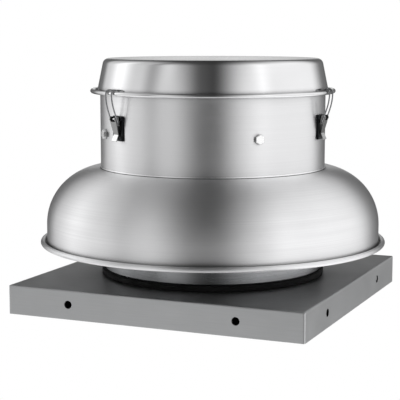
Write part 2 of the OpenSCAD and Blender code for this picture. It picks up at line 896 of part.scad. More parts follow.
module motor_tie_bolts() {
    nut_h = tie_bolt_d * 0.8;
    head_z = motor_top - tie_ear_inset;
    nut_z = motor_z + tie_ear_inset - nut_h;
    shank_z = nut_z - 1;
    color("dimgray") around(4, 45) translate([tie_ring_r, 0, 0]) rotate(30) union() {
        hex_block(hex_af(tie_bolt_d), head_z, head_h(tie_bolt_d));
        drill(tie_bolt_d, shank_z, head_z - shank_z + join);
        hex_block(hex_af(tie_bolt_d), nut_z, nut_h);
    }
}

module motor_bearings() {
    color("silver") for (z = [lower_bearing_z, upper_bearing_z])
        ring(bearing_d / 2, shaft_d / 2 + bearing_clear, z, bearing_h);
}

module motor_shaft() {
    color("silver") difference() {
        drill(shaft_d, shaft_z, shaft_top - shaft_z);
        for (z = [lower_circlip_z, upper_circlip_z])
            ring(shaft_d, shaft_d / 2 - circlip_depth, z, circlip_t);
        translate([key_inner, -key_w / 2, shaft_z - cut]) cube([shaft_d, key_w, hub_h + shaft_tail + cut]);
    }
}

module shaft_circlips() {
    color("dimgray") for (z = [lower_circlip_z, upper_circlip_z])
        ring(shaft_d / 2 + circlip_w, shaft_d / 2 - circlip_depth + seat_fit,
            z + seat_fit, circlip_t - 2 * seat_fit);
}

module rotor_core() {
    color("#8a8d90") ring(core_bore_d / 2 - air_gap, shaft_d / 2 + seat_fit, core_z, core_h);
}

// Terminal box on the motor shell
module terminal_box() {
    floor_t = 5;
    color("#4c5a66") difference() {
        translate([-terminal_w / 2, 0, terminal_z]) cube([terminal_w, terminal_face, terminal_h]);
        disc(motor_r + seat_fit, terminal_z - cut, terminal_h + 2 * cut);
        translate([box_wall - terminal_w / 2, motor_r + floor_t, terminal_z + box_wall])
            cube([terminal_w - 2 * box_wall, terminal_out, terminal_h - 2 * box_wall]);
        translate([0, terminal_port_y, 0])
            radial_bar(cable_d + 2 * seat_fit, 0, terminal_w, terminal_port_z);
    }
}

module terminal_lid() {
    color("#4c5a66") translate([-terminal_w / 2, terminal_face, terminal_z])
        cube([terminal_w, lid_t, terminal_h]);
}

// Run capacitor, which stands on the motor plate
module run_capacitor() {
    lid_inset = 3;
    lid_rise = 2;
    tab = [2, 6, 11];
    tab_pitch = 16;
    color("#b9bcc0") translate([-capacitor_x, 0, plate_top]) union() {
        drill(capacitor_d, 0, capacitor_h);
        drill(capacitor_d - 2 * lid_inset, 0, capacitor_h + lid_rise);
        for (side = [-1, 1])
            translate([-tab[0] / 2, (side * tab_pitch - tab[1]) / 2, capacitor_h]) cube(tab);
    }
}

module capacitor_strap() {
    outer_r = capacitor_d / 2 + seat_fit + strap_t;
    leg_x = -outer_r - strap_t / 2;
    color("silver") translate([-capacitor_x, 0, 0]) union() {
        ring(outer_r, capacitor_d / 2 + seat_fit, strap_z, strap_w);
        translate([leg_x, -strap_w / 2, plate_top])
            cube([strap_t, strap_w, strap_z + strap_w - plate_top]);
        translate([leg_x - strap_foot, -strap_w / 2, plate_top])
            cube([strap_foot + strap_t, strap_w, strap_t]);
    }
}

// Disconnect switch, which stands on the motor plate
module disconnect_box() {
    color("#7c8084") difference() {
        translate([switch_x, -switch_w / 2, plate_top]) cube([switch_d, switch_w, switch_h]);
        translate([switch_x + box_wall, box_wall - switch_w / 2, plate_top + box_wall])
            cube([switch_d, switch_w - 2 * box_wall, switch_h - 2 * box_wall]);
        translate([switch_port_x, 0, terminal_port_z]) rotate([-90, 0, 0])
            cylinder(d = cable_d + 2 * seat_fit, h = switch_w);
    }
}

module disconnect_cover() {
    slot_w = toggle_w + 2 * toggle_gap;
    slot_h = 24;
    ear_in = slot_w / 2;
    color("#8c9094") difference() {
        union() {
            translate([switch_face, -switch_w / 2, plate_top]) cube([lid_t, switch_w, switch_h]);
            for (side = [0, 1]) mirror([0, side, 0])
                translate([toggle_x - toggle_r, ear_in, toggle_z - toggle_r])
                    cube([toggle_r + toggle_inset + join, toggle_ear_w, 2 * toggle_r]);
        }
        translate([toggle_x, -slot_w / 2, toggle_z - slot_h / 2])
            cube([toggle_inset + lid_t + cut, slot_w, slot_h]);
        translate([toggle_x, -switch_w / 2, toggle_z]) rotate([-90, 0, 0])
            cylinder(d = toggle_stub_d + 2 * pin_clear, h = switch_w);
    }
}

module disconnect_toggle() {
    color("#c23b2e") translate([toggle_x, 0, toggle_z]) union() {
        rotate([90, 0, 0]) cylinder(r = toggle_r, h = toggle_w, center = true);
        rotate([90, 0, 0])
            cylinder(d = toggle_stub_d, h = toggle_w + 2 * (toggle_gap + toggle_ear_w), center = true);
        rotate([0, 90 - toggle_lean, 0]) cylinder(d = toggle_lever_d, h = toggle_len);
    }
}

// Motor cable, held at both ends by glands
module motor_cable() {
    turn_x = switch_port_x - cable_bend_r;
    turn_y = terminal_port_y - cable_bend_r;
    color("#161616") translate([0, 0, terminal_port_z]) union() {
        translate([0, terminal_port_y, 0])
            radial_bar(cable_d, terminal_w / 2 - box_wall - cable_tail, turn_x + bend_join, 0);
        translate([turn_x, turn_y, 0]) rotate_extrude(angle = 90)
            translate([cable_bend_r, 0]) circle(d = cable_d);
        translate([switch_port_x, turn_y + bend_join, 0]) rotate([90, 0, 0])
            cylinder(d = cable_d, h = turn_y + bend_join - switch_w / 2 + box_wall + cable_tail);
    }
}

module gland() {
    difference() {
        union() {
            hex_block(gland_d, 0, gland_nut_h);
            drill(gland_d - 1, 0, gland_len);
        }
        drill(cable_d + 2 * seat_fit, -cut, gland_len + 2 * cut);
    }
}

module cable_glands() {
    color("#303234") union() {
        translate([terminal_w / 2, terminal_port_y, terminal_port_z]) rotate([0, 90, 0]) gland();
        translate([switch_port_x, switch_w / 2, terminal_port_z]) rotate([-90, 0, 0]) gland();
    }
}

// Latches. A latch is drawn at angle 0, with its pivot along Y, and turned to its place.
module at_latch(i) {
    rotate(latch_angles[i]) children();
}

module cross_pin(d, at, w) {
    translate([at[0], w / 2, at[1]]) rotate([90, 0, 0]) cylinder(d = d, h = w);
}

module latch_rivet_places() {
    for (a = latch_angles, v = [-1, 1], z = [latch_base_z + latch_rivet_inset, latch_rivet_top_z])
        rotate(a) translate([0, v * latch_rivet_v, z]) children();
}

module latch_ear_outline() {
    union() {
        translate(pivot) circle(r = ear_r);
        translate([housing_r + latch_base_t / 2, pivot[1] - ear_r])
            square([pivot_out - latch_base_t / 2, 2 * ear_r - ear_drop]);
    }
}

module latch_base(i) {
    back_depth = 4;
    color("#3c3f42") at_latch(i) difference() {
        union() {
            translate([housing_r - back_depth, -latch_base_w / 2, latch_base_z])
                cube([latch_base_t + back_depth, latch_base_w, latch_base_h]);
            for (side = [-1, 1]) translate([0, side * (ear_w / 2 - ear_t / 2), 0])
                across(ear_t) latch_ear_outline();
        }
        disc(housing_r, latch_base_z - cut, latch_base_h + 2 * cut, $fn = 720);
        cross_pin(latch_pin_d + 2 * pin_clear, pivot, lever_w);
        for (v = [-1, 1], z = [latch_base_z + latch_rivet_inset, latch_rivet_top_z])
            translate([0, v * latch_rivet_v, z])
                radial_bar(rivet_d + 2 * seat_fit, housing_r - cut, latch_base_out + cut, 0);
    }
}

module latch_base_1() { latch_base(0); }
module latch_base_2() { latch_base(1); }
module latch_base_3() { latch_base(2); }

module latch_rivets() {
    color("silver") latch_rivet_places() union() {
        radial_bar(rivet_d, housing_inner_r - 1, latch_base_out + join, 0);
        translate([latch_base_out, 0, 0]) rotate([0, 90, 0]) scale(0.75) rivet_head(rivet_d);
    }
}

module latch_pins() {
    color("silver") for (i = [0 : 2]) at_latch(i) cross_pin(latch_pin_d, pivot, lever_w - 2 * seat_fit);
}

// Lever outline in the plane through the axis: a folded channel with a flared tab. Its
// front starts below the pivot, so that it clears the base's ears as it swings up.
lever_top = pivot + [2.4, -ear_r - 1];
lever_neck = pivot + [-3.1, 9.5 - lever_len];
lever_tip = pivot + [1.3, -lever_len];
lever_shoulder_z = bail_foot[1] - 3;

module lever_web_outline() {
    t = lever_sheet;
    polygon([
        lever_top,
        lever_top - [t, 0],
        lever_neck - [t, 0],
        lever_tip - [t * 0.8, t * 0.6],
        lever_tip,
        lever_neck
    ]);
}

module lever_side_outline() {
    difference() {
        union() {
            translate(pivot) circle(r = ear_r + 0.8);
            polygon([
                pivot + [-3.4, 2],
                pivot + [3.2, 2.2],
                lever_top,
                lever_neck,
                lever_neck - [lever_sheet, 0],
                pivot + [-5, -13],
                pivot + [-5, -5]
            ]);
        }
        translate(pivot) circle(d = latch_pin_d + 2 * pin_clear);
        translate(bail_foot) circle(d = bail_wire_d + 2 * pin_clear);
    }
}

// The lever's front narrows from its full width below the pivot to its neck
module lever_front_outline() {
    neck_w = 12;
    tip_w = 13.2;
    union() for (side = [0, 1]) mirror([side, 0]) polygon([
        [0, lever_top[1]],
        [lever_w / 2, lever_top[1]],
        [lever_w / 2, lever_shoulder_z],
        [neck_w / 2, lever_neck[1]],
        [tip_w / 2, lever_tip[1] - cut],
        [0, lever_tip[1] - cut]
    ]);
}

module across(w) {
    translate([0, w / 2, 0]) rotate([90, 0, 0]) linear_extrude(w) children();
}

module latch_lever(i) {
    color("#9a9da0") at_latch(i) union() {
        intersection() {
            across(lever_w) lever_web_outline();
            translate([pivot[0] - lever_w, 0, 0]) rotate([90, 0, 90])
                linear_extrude(2 * lever_w) lever_front_outline();
        }
        for (side = [-1, 1]) translate([0, side * (lever_w - lever_sheet) / 2, 0])
            across(lever_sheet) intersection() {
                lever_side_outline();
                translate([pivot[0] - lever_w, lever_shoulder_z]) square(2 * lever_w);
            }
    }
}

module latch_lever_1() { latch_lever(0); }
module latch_lever_2() { latch_lever(1); }
module latch_lever_3() { latch_lever(2); }

// Bail: one wire from pin to pin. The leg bows outwards, bends over the bead and ends
// in a straight hook bar. Points are [radius, tangent, height].
leg_steps = 9;
bend_steps = 4;
bail_pin_reach = 0.4;
bail_shoulder_z = bail_top_z - bail_bend_r;
function mix(a, b, t) = a + (b - a) * t;
function bail_leg() = [
    for (i = [0 : leg_steps]) let (t = i / leg_steps)
        [mix(bail_foot[0], bail_out_u, sin(90 * t)), mix(bail_foot_w, bail_hook_w, t) / 2,
         mix(bail_foot[1], bail_shoulder_z, t)]
];
function bail_bend() = [
    for (i = [1 : bend_steps]) let (a = 90 * i / bend_steps)
        [bail_out_u - bail_bend_r * (1 - cos(a)), bail_hook_w / 2, bail_shoulder_z + bail_bend_r * sin(a)]
];
function bail_corner() = [
    for (i = [1 : bend_steps]) let (a = 90 * i / bend_steps)
        [bail_hook_u + bail_corner_r * (1 - sin(a)),
         bail_hook_w / 2 - bail_corner_r * (1 - cos(a)), bail_top_z]
];
function bail_half() = concat(bail_leg(), bail_bend(), bail_corner());
function flipped(points) = [
    for (i = [len(points) - 1 : -1 : 0]) [points[i][0], -points[i][1], points[i][2]]
];

// A round wire swept along points, closed at both ends
function unit(v) = v / norm(v);
function upright(n, t) = unit(n - (n * t) * t);
module wire(points, d, first_normal, sides = 12) {
    last = len(points) - 1;
    along = [for (i = [0 : last]) unit(points[min(i + 1, last)] - points[max(i - 1, 0)])];
    normals = [for (i = 0, n = upright(first_normal, along[0]); i <= last;
        i = i + 1, n = i <= last ? upright(n, along[i]) : n) n];
    rim = [for (i = [0 : last], k = [0 : sides - 1]) let (a = 360 * k / sides)
        points[i] + d / 2 * (cos(a) * normals[i] + sin(a) * cross(along[i], normals[i]))];
    sleeves = [for (i = [0 : last - 1], k = [0 : sides - 1])
        let (here = i * sides, next = here + sides, turned = (k + 1) % sides)
            [here + k, next + k, next + turned, here + turned]];
    ends = [[for (k = [0 : sides - 1]) k], [for (k = [sides - 1 : -1 : 0]) last * sides + k]];
    polyhedron(points = rim, faces = concat(sleeves, ends), convexity = 6);
}

module latch_bail(i) {
    pin_in = lever_inner_w / 2 - bail_pin_reach;
    color("silver") at_latch(i) union() {
        wire(concat(bail_half(), flipped(bail_half())), bail_wire_d, [0, 1, 0]);
        for (side = [0, 1]) mirror([0, side, 0]) translate([bail_foot[0], pin_in, bail_foot[1]])
            rotate([-90, 0, 0]) cylinder(d = bail_wire_d, h = (bail_foot_w + bail_wire_d) / 2 - pin_in);
    }
}

module latch_bail_1() { latch_bail(0); }
module latch_bail_2() { latch_bail(1); }
module latch_bail_3() { latch_bail(2); }

// Wheel
module wheel_hub() {
    color("gray") difference() {
        union() {
            drill(hub_d, hub_z, hub_h);
            drill(hub_flange_d, back_plate_z - hub_flange_t, hub_flange_t);
        }
        drill(shaft_d + 2 * seat_fit, hub_z - cut, hub_h + 2 * cut);
        translate([0, -key_w / 2 - seat_fit, hub_z - cut])
            cube([key_inner + key_h + 2 * seat_fit, key_w + 2 * seat_fit, hub_h + 2 * cut]);
        radial_bar(set_screw_d + 2 * seat_fit, -hub_d, 0, set_screw_z);
        hub_rivet_holes(back_plate_z - hub_flange_t - cut, hub_flange_t + 2 * cut);
    }
}

module hub_rivet_places() {
    around(hub_rivet_count, 180 / hub_rivet_count) translate([hub_rivet_ring_r, 0, 0]) children();
}

module hub_rivet_holes(z, h) {
    hub_rivet_places() drill(rivet_d + 2 * seat_fit, z, h);
}

module wheel_back_plate() {
    color("silver") difference() {
        ring(wheel_r, shaft_d / 2 + plate_hole_gap, back_plate_z, back_plate_t);
        hub_rivet_holes(back_plate_z - cut, back_plate_t + 2 * cut);
    }
}

// Blades stand in from the shroud's edges, and are drawn longer before they are trimmed
blade_inset = 1.5;
blade_overrun = 15;

// Height of the shroud's upper face at radius r
function shroud_face(r) = mix(shroud_in_z, shroud_tip_z, (r - shroud_r) / (wheel_r - shroud_r));

module wheel_shroud() {
    neck_r = shroud_r + shroud_sheet;
    color("silver") rotate_extrude() polygon([
        [shroud_r, lip_z],
        [neck_r, lip_z],
        [neck_r, shroud_face(neck_r) - shroud_sheet],
        [wheel_r, shroud_tip_z - shroud_sheet],
        [wheel_r, shroud_tip_z],
        [shroud_r, shroud_in_z]
    ]);
}

module wheel_blades() {
    root_r = shroud_r + blade_inset;
    tip_r = wheel_r - blade_inset;
    mid_r = (root_r + tip_r) / 2;
    span = (tip_r - root_r) / cos(blade_lean) + 2 * blade_overrun;
    color("gainsboro") intersection() {
        rotate_extrude() polygon([
            [root_r, shroud_face(root_r)],
            [tip_r, shroud_face(tip_r)],
            [tip_r, back_plate_z],
            [root_r, back_plate_z]
        ]);
        around(blade_count) translate([mid_r, 0, 0]) rotate(blade_lean)
            translate([-span / 2, -blade_t / 2, lip_z]) cube([span, blade_t, back_plate_z - lip_z + cut]);
    }
}

module wheel_rivets() {
    grip = back_plate_t + hub_flange_t;
    color("dimgray") hub_rivet_places() translate([0, 0, back_plate_z + back_plate_t]) union() {
        rivet_head(rivet_d);
        drill(rivet_d, -grip - join, grip + 2 * join);
        translate([0, 0, -grip]) mirror([0, 0, 1]) rivet_head(rivet_d);
    }
}

module shaft_key() {
    color("dimgray") translate([key_inner + seat_fit, seat_fit - key_w / 2, hub_z])
        cube([key_h, key_w - 2 * seat_fit, hub_h]);
}

module hub_set_screw() {
    color("#2b2b2b") radial_bar(set_screw_d, -hub_d / 2 + 1, -shaft_d / 2 - seat_fit, set_screw_z);
}

curb_cap();
curb_seal();
base_gasket();
inlet_collar();
collar_screws();
inlet_cone();
cone_rivets();
support_posts();
lower_post_bolts();
upper_post_bolts();
motor_plate();
windband();
neck_ring();
housing_brackets();
motor_housing();
housing_screws();
housing_nuts();
cap_seal();
top_cap();
conduit_tube();
conduit_locknuts();
motor_isolators();
motor_mount_bolts();
motor_shell();
lower_end_bell();
upper_end_bell();
stator_core();
stator_windings();
motor_tie_bolts();
motor_bearings();
terminal_box();
terminal_lid();
run_capacitor();
capacitor_strap();
disconnect_box();
disconnect_cover();
disconnect_toggle();
motor_cable();
cable_glands();
latch_base_1();
latch_base_2();
latch_base_3();
latch_rivets();
latch_pins();
latch_lever_1();
latch_lever_2();
latch_lever_3();
latch_bail_1();
latch_bail_2();
latch_bail_3();
motor_shaft();
shaft_circlips();
rotor_core();
wheel_hub();
wheel_back_plate();
wheel_blades();
wheel_shroud();
wheel_rivets();
shaft_key();
hub_set_screw();
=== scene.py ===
"""Roof exhaust fan: spun shells, latch wires, finishes and a soft studio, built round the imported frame.

Sizes of the fan are millimetres, those of the studio are metres, and everything handed to Blender is in
metres. The fan's axis is Z.
"""

from __future__ import annotations

import json
import logging
import math
from dataclasses import dataclass, field
from enum import Enum

import bmesh
import bpy
from mathutils import Matrix, Vector

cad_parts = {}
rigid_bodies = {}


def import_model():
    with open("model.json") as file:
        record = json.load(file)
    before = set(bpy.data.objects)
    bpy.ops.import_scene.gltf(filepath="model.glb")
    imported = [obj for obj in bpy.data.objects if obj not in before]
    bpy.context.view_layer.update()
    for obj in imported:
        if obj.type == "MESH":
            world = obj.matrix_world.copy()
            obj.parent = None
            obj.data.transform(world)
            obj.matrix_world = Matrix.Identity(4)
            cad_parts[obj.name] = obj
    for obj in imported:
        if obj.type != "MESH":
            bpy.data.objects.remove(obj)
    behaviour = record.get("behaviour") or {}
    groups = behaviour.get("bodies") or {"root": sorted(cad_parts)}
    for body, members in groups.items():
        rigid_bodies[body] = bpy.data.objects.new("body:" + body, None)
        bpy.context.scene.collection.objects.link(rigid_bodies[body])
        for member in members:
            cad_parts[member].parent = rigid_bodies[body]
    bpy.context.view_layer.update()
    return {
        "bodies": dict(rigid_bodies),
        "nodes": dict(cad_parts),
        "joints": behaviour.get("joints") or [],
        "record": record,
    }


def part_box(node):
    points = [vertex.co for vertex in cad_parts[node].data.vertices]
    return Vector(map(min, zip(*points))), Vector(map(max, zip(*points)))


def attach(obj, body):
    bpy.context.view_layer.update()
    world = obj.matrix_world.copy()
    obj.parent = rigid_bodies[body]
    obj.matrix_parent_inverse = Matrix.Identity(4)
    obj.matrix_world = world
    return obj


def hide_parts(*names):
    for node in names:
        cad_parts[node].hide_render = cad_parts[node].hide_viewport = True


LOG = logging.getLogger("roof_fan")
MM = 0.001
SHARP_EDGE = math.radians(32)
WELD_M = 1e-6
WHITE = (1.0, 1.0, 1.0, 1.0)

# Surfaces: how much longer a rolled line is than it is wide, and the noises' finer layers.
ROLLED_STRETCH = 40.0
LINE_DETAIL, CLOUD_DETAIL, GRAIN_DETAIL, PATCH_DETAIL = 3.0, 4.0, 2.0, 5.0
PATCH_MM = 25.0
# Roughness: its factors along the lines and over a coating's patches, and what clouds add to it.
LINE_GLOSS = (1.12, 0.9)
PATCH_GLOSS = (0.88, 1.12)
CLOUD_GLOSS = (-0.02, 0.03)
# Painted shade in creases, rounded edges, a lever tab's painted highlight with painted shade above it, and
# painted shade in punched holes.
PAINTED_SHADE_SAMPLES = 8
PAINTED_SHADE_REACH = (0.35, 0.8)
EDGE_SAMPLES = 4
TAB_HIGHLIGHT_BLUR_MM = 0.4
HOLE_SHADE_TONE = 0.02
HOLE_SHADE_BLUR_MM = 0.1
# The inner fillet between a wall and the bead rolled at its foot.
ROLL_FILLET = 1.6

Point = tuple[float, float]
Triple = tuple[float, float, float]
Socket = bpy.types.NodeSocket
Tree = bpy.types.NodeTree


def linear(hex_colour: str) -> tuple[float, float, float, float]:
    """Turn an sRGB hex colour into linear RGBA.

    Args:
        hex_colour: the colour as six hex digits, with or without a leading #.

    Returns:
        Red, green, blue and an alpha of 1, all linear.
    """
    digits = hex_colour.lstrip("#")
    parts = [int(digits[i : i + 2], 16) / 255 for i in (0, 2, 4)]
    red, green, blue = [c / 12.92 if c <= 0.04045 else ((c + 0.055) / 1.055) ** 2.4 for c in parts]
    return red, green, blue, 1.0


def add_node(tree: Tree, kind: str, inputs: dict | None = None, **settings: object) -> bpy.types.Node:
    """Add one shader node with its settings, and set or link its inputs.

    Args:
        tree: the node tree that gets the node.
        kind: the node's type name.
        inputs: values or output sockets, by input name or number.
        settings: the node's own properties.

    Returns:
        The new node.
    """
    node = tree.nodes.new(kind)
    for name, value in settings.items():
        setattr(node, name, value)
    for key, value in (inputs or {}).items():
        if isinstance(value, Socket):
            tree.links.new(value, node.inputs[key])
        else:
            node.inputs[key].default_value = value
    return node


def maths(tree: Tree, operation: str, *values: Socket | float) -> Socket:
    """Work out one value from sockets and numbers.

    Args:
        tree: the node tree.
        operation: the name of the sum.
        values: its terms, in order.

    Returns:
        A value socket.
    """
    return add_node(tree, "ShaderNodeMath", dict(enumerate(values)), operation=operation).outputs[0]


class Lay(Enum):
    """Which way the fine lines of a metal's surface run."""

    SPUN = "round the fan's axis"
    ROLLED = "along X"
    PLAIN = "no lines"


def surface_coordinates(tree: Tree, lay: Lay, line_mm: float) -> Socket:
    """Give coordinates in which a noise of scale 1 draws lines that run the way of the lay.

    Args:
        tree: the material's node tree.
        lay: the way the lines run.
        line_mm: the distance between lines, in millimetres.

    Returns:
        A vector socket.
    """
    place = add_node(tree, "ShaderNodeTexCoord").outputs["Object"]
    per_metre = 1 / (line_mm * MM)
    if lay is Lay.PLAIN:
        return add_node(tree, "ShaderNodeVectorMath", {0: place, 3: per_metre}, operation="SCALE").outputs[0]
    if lay is Lay.ROLLED:
        stretch = (per_metre / ROLLED_STRETCH, per_metre, per_metre)
        return add_node(tree, "ShaderNodeVectorMath", {0: place, 1: stretch}, operation="MULTIPLY").outputs[0]
    flat = add_node(tree, "ShaderNodeVectorMath", {0: place, 1: (1, 1, 0)}, operation="MULTIPLY").outputs[0]
    radius = add_node(tree, "ShaderNodeVectorMath", {0: flat}, operation="LENGTH").outputs["Value"]
    turn = add_node(tree, "ShaderNodeVectorMath", {0: flat}, operation="NORMALIZE").outputs[0]
    height = add_node(tree, "ShaderNodeSeparateXYZ", {0: place}).outputs["Z"]
    ring = maths(tree, "MULTIPLY", maths(tree, "SUBTRACT", height, radius), per_metre)
    up = add_node(tree, "ShaderNodeCombineXYZ", {"Z": ring}).outputs[0]
    return add_node(tree, "ShaderNodeVectorMath", {0: turn, 1: up}, operation="ADD").outputs[0]


def spread(tree: Tree, value: Socket, low: float, high: float, reach: Point = (0.3, 0.7)) -> Socket:
    """Map a reach of values evenly to low and high, and hold those outside it.

    Args:
        tree: the material's node tree.
        value: what is mapped.
        low: the result at reach's first value.
        high: the result at reach's second value.
        reach: the values that map to low and high, by default the middle range of a noise.

    Returns:
        A value socket.
    """
    inputs = {"Value": value, "From Min": reach[0], "From Max": reach[1], "To Min": low, "To Max": high}
    return add_node(tree, "ShaderNodeMapRange", inputs).outputs[0]


def noise(tree: Tree, lay: Lay, size_mm: float, detail: float) -> Socket:
    """Draw a noise that runs the way of the lay.

    Args:
        tree: the material's node tree.
        lay: the way that its lines run.
        size_mm: the distance between its lines or patches, in millimetres.
        detail: how many finer layers are added to it.

    Returns:
        A value socket.
    """
    place = surface_coordinates(tree, lay, size_mm)
    return add_node(tree, "ShaderNodeTexNoise", {"Vector": place, "Scale": 1.0, "Detail": detail}).outputs[0]


def tinted(tree: Tree, hex_colour: str, tone: Socket) -> Socket:
    """Multiply a colour by a tone.

    Args:
        tree: the material's node tree.
        hex_colour: the colour as six hex digits.
        tone: what it is multiplied by.

    Returns:
        A colour socket.
    """
    colour = linear(hex_colour)[:3]
    return add_node(tree, "ShaderNodeVectorMath", {0: colour, 3: tone}, operation="SCALE").outputs[0]


def relief(tree: Tree, height: Socket, depth_mm: float, edge_mm: float) -> Socket:
    """Give the normal of a surface with fine relief and softened edges.

    Args:
        tree: the material's node tree.
        height: the relief.
        depth_mm: its depth, in millimetres.
        edge_mm: the radius of the softened edges, in millimetres, or 0 for sharp ones.

    Returns:
        A normal socket.
    """
    inputs = {"Height": height, "Distance": depth_mm * MM, "Strength": 1.0}
    if edge_mm:
        edge = add_node(tree, "ShaderNodeBevel", {"Radius": edge_mm * MM}, samples=EDGE_SAMPLES)
        inputs["Normal"] = edge.outputs[0]
    return add_node(tree, "ShaderNodeBump", inputs).outputs[0]


@dataclass(frozen=True)
class Metal:
    """A bare or plated metal, with fine lines, faint cloudiness and slight wear in its gloss."""

    name: str
    colour: str
    roughness: float
    lay: Lay = Lay.PLAIN
    line_mm: float = 1.2
    line_depth_mm: float = 0.004
    streaks: float = 0.1
    cloud_mm: float = 60.0
    clouds: float = 0.05
    anisotropy: float = 0.0
    edge_mm: float = 0.0
    # Painted shade: how far ambient occlusion reaches to darken creases and places near other parts, the tone
    # such places keep, and whether only upward faces are darkened.
    painted_shade_mm: float = 0.0
    painted_shade_keep: float = 0.25
    painted_shade_on_top: bool = False
    # Painted shade on the cut edges of punched holes: their distance across, height and radius.
    shaded_holes_mm: tuple[float, ...] = ()
    # A painted highlight below a height, with painted shade above it, and the tone of that shade.
    painted_highlight_below_mm: float = 0.0
    painted_shade_above_tone: float = 0.4

    def build(self) -> bpy.types.Material:
        """Make the material.

        Returns:
            The material, named for the finish.
        """
        material, tree, output = new_material(self.name)
        lines = noise(tree, self.lay, self.line_mm, LINE_DETAIL)
        clouds = noise(tree, Lay.PLAIN, self.cloud_mm, CLOUD_DETAIL)
        tone_lines = spread(tree, lines, 1 - self.streaks, 1 + self.streaks / 3)
        tone_clouds = spread(tree, clouds, 1 - self.clouds, 1 + self.clouds / 2)
        tone = maths(tree, "MULTIPLY", tone_lines, tone_clouds)
        # Painted shade in creases and near other parts.
        if self.painted_shade_mm:
            tone = maths(tree, "MULTIPLY", tone, self.painted_shade_tone(tree))
        # Painted shade in the punched holes.
        if self.shaded_holes_mm:
            tone = maths(tree, "MULTIPLY", tone, self.hole_shade_tone(tree))
        # A painted highlight on the lever's tab, with painted shade above it.
        if self.painted_highlight_below_mm:
            tone = maths(tree, "MULTIPLY", tone, self.tab_highlight_tone(tree))
        rough_lines = spread(tree, lines, *(self.roughness * share for share in LINE_GLOSS))
        rough = maths(tree, "ADD", rough_lines, spread(tree, clouds, *CLOUD_GLOSS))
        inputs = {
            "Base Color": tinted(tree, self.colour, tone), "Roughness": rough, "Metallic": 1.0,
            "Normal": relief(tree, lines, self.line_depth_mm, self.edge_mm),
        }
        shader = add_node(tree, "ShaderNodeBsdfPrincipled", inputs)
        if self.anisotropy:
            shader.inputs["Anisotropic"].default_value = self.anisotropy
            shader.inputs["Anisotropic Rotation"].default_value = 0.25
            tangent = add_node(tree, "ShaderNodeTangent", direction_type="RADIAL", axis="Z").outputs[0]
            tree.links.new(tangent, shader.inputs["Tangent"])
        tree.links.new(shader.outputs[0], output.inputs["Surface"])
        return material

    def painted_shade_tone(self, tree: Tree) -> Socket:
        """Paint shade on the places close to other surfaces, as ambient occlusion finds them.

        Args:
            tree: the material's node tree.

        Returns:
            A value socket, 1 in the open.
        """
        reach = {"Distance": self.painted_shade_mm * MM}
        near = add_node(tree, "ShaderNodeAmbientOcclusion", reach, samples=PAINTED_SHADE_SAMPLES).outputs["AO"]
        shade_factor = spread(tree, near, self.painted_shade_keep, 1.0, PAINTED_SHADE_REACH)
        if not self.painted_shade_on_top:
            return shade_factor
        faces = add_node(tree, "ShaderNodeNewGeometry").outputs["Normal"]
        upward = maths(tree, "MAXIMUM", add_node(tree, "ShaderNodeSeparateXYZ", {0: faces}).outputs["Z"], 0.0)
        lost = maths(tree, "MULTIPLY", maths(tree, "SUBTRACT", 1.0, shade_factor), upward)
        return maths(tree, "SUBTRACT", 1.0, lost)

    def tab_highlight_tone(self, tree: Tree) -> Socket:
        """Paint shade on what lies above the lever's tab, so that the tab keeps a painted highlight.

        Args:
            tree: the material's node tree.

        Returns:
            A value socket, 1 on the bright part.
        """
        place = add_node(tree, "ShaderNodeTexCoord").outputs["Object"]
        height = add_node(tree, "ShaderNodeSeparateXYZ", {0: place}).outputs["Z"]
        edge_z, blur = self.painted_highlight_below_mm * MM, TAB_HIGHLIGHT_BLUR_MM * MM
        return spread(tree, height, 1.0, self.painted_shade_above_tone, (edge_z - blur, edge_z + blur))

    def hole_shade_tone(self, tree: Tree) -> Socket:
        """Paint shade on the cut edges of the holes punched in the four sides of a square.

        Args:
            tree: the material's node tree.

        Returns:
            A value socket, 1 away from the holes.
        """
        across, height, radius = (value * MM for value in self.shaded_holes_mm)
        place = add_node(tree, "ShaderNodeTexCoord").outputs["Object"]
        apart = add_node(tree, "ShaderNodeVectorMath", {0: place}, operation="ABSOLUTE").outputs[0]
        parts = add_node(tree, "ShaderNodeSeparateXYZ", {0: apart}).outputs
        up = maths(tree, "SUBTRACT", parts["Z"], height)
        ends = []
        for axis in ("X", "Y"):
            side = maths(tree, "SUBTRACT", parts[axis], across)
            flat = add_node(tree, "ShaderNodeCombineXYZ", {0: side, 1: up}).outputs[0]
            length = add_node(tree, "ShaderNodeVectorMath", {0: flat}, operation="LENGTH")
            ends.append(length.outputs["Value"])
        reach = (radius, radius + HOLE_SHADE_BLUR_MM * MM)
        return spread(tree, maths(tree, "MINIMUM", *ends), HOLE_SHADE_TONE, 1.0, reach)


@dataclass(frozen=True)
class Coating:
    """Paint, rubber, plastic or varnish, with a fine grain, dust and slight unevenness in its gloss."""

    name: str
    colour: str
    roughness: float
    grain_mm: float = 1.0
    grain_depth_mm: float = 0.01
    mottle: float = 0.12
    coat: float = 0.0
    edge_mm: float = 0.0

    def build(self) -> bpy.types.Material:
        """Make the material.

        Returns:
            The material, named for the finish.
        """
        material, tree, output = new_material(self.name)
        grain = noise(tree, Lay.PLAIN, self.grain_mm, GRAIN_DETAIL)
        patches = noise(tree, Lay.PLAIN, PATCH_MM, PATCH_DETAIL)
        tone = spread(tree, patches, 1 - self.mottle, 1 + self.mottle)
        rough = spread(tree, patches, *(self.roughness * share for share in PATCH_GLOSS))
        inputs = {
            "Base Color": tinted(tree, self.colour, tone), "Roughness": rough, "Coat Weight": self.coat,
            "Normal": relief(tree, grain, self.grain_depth_mm, self.edge_mm),
        }
        shader = add_node(tree, "ShaderNodeBsdfPrincipled", inputs)
        tree.links.new(shader.outputs[0], output.inputs["Surface"])
        return material


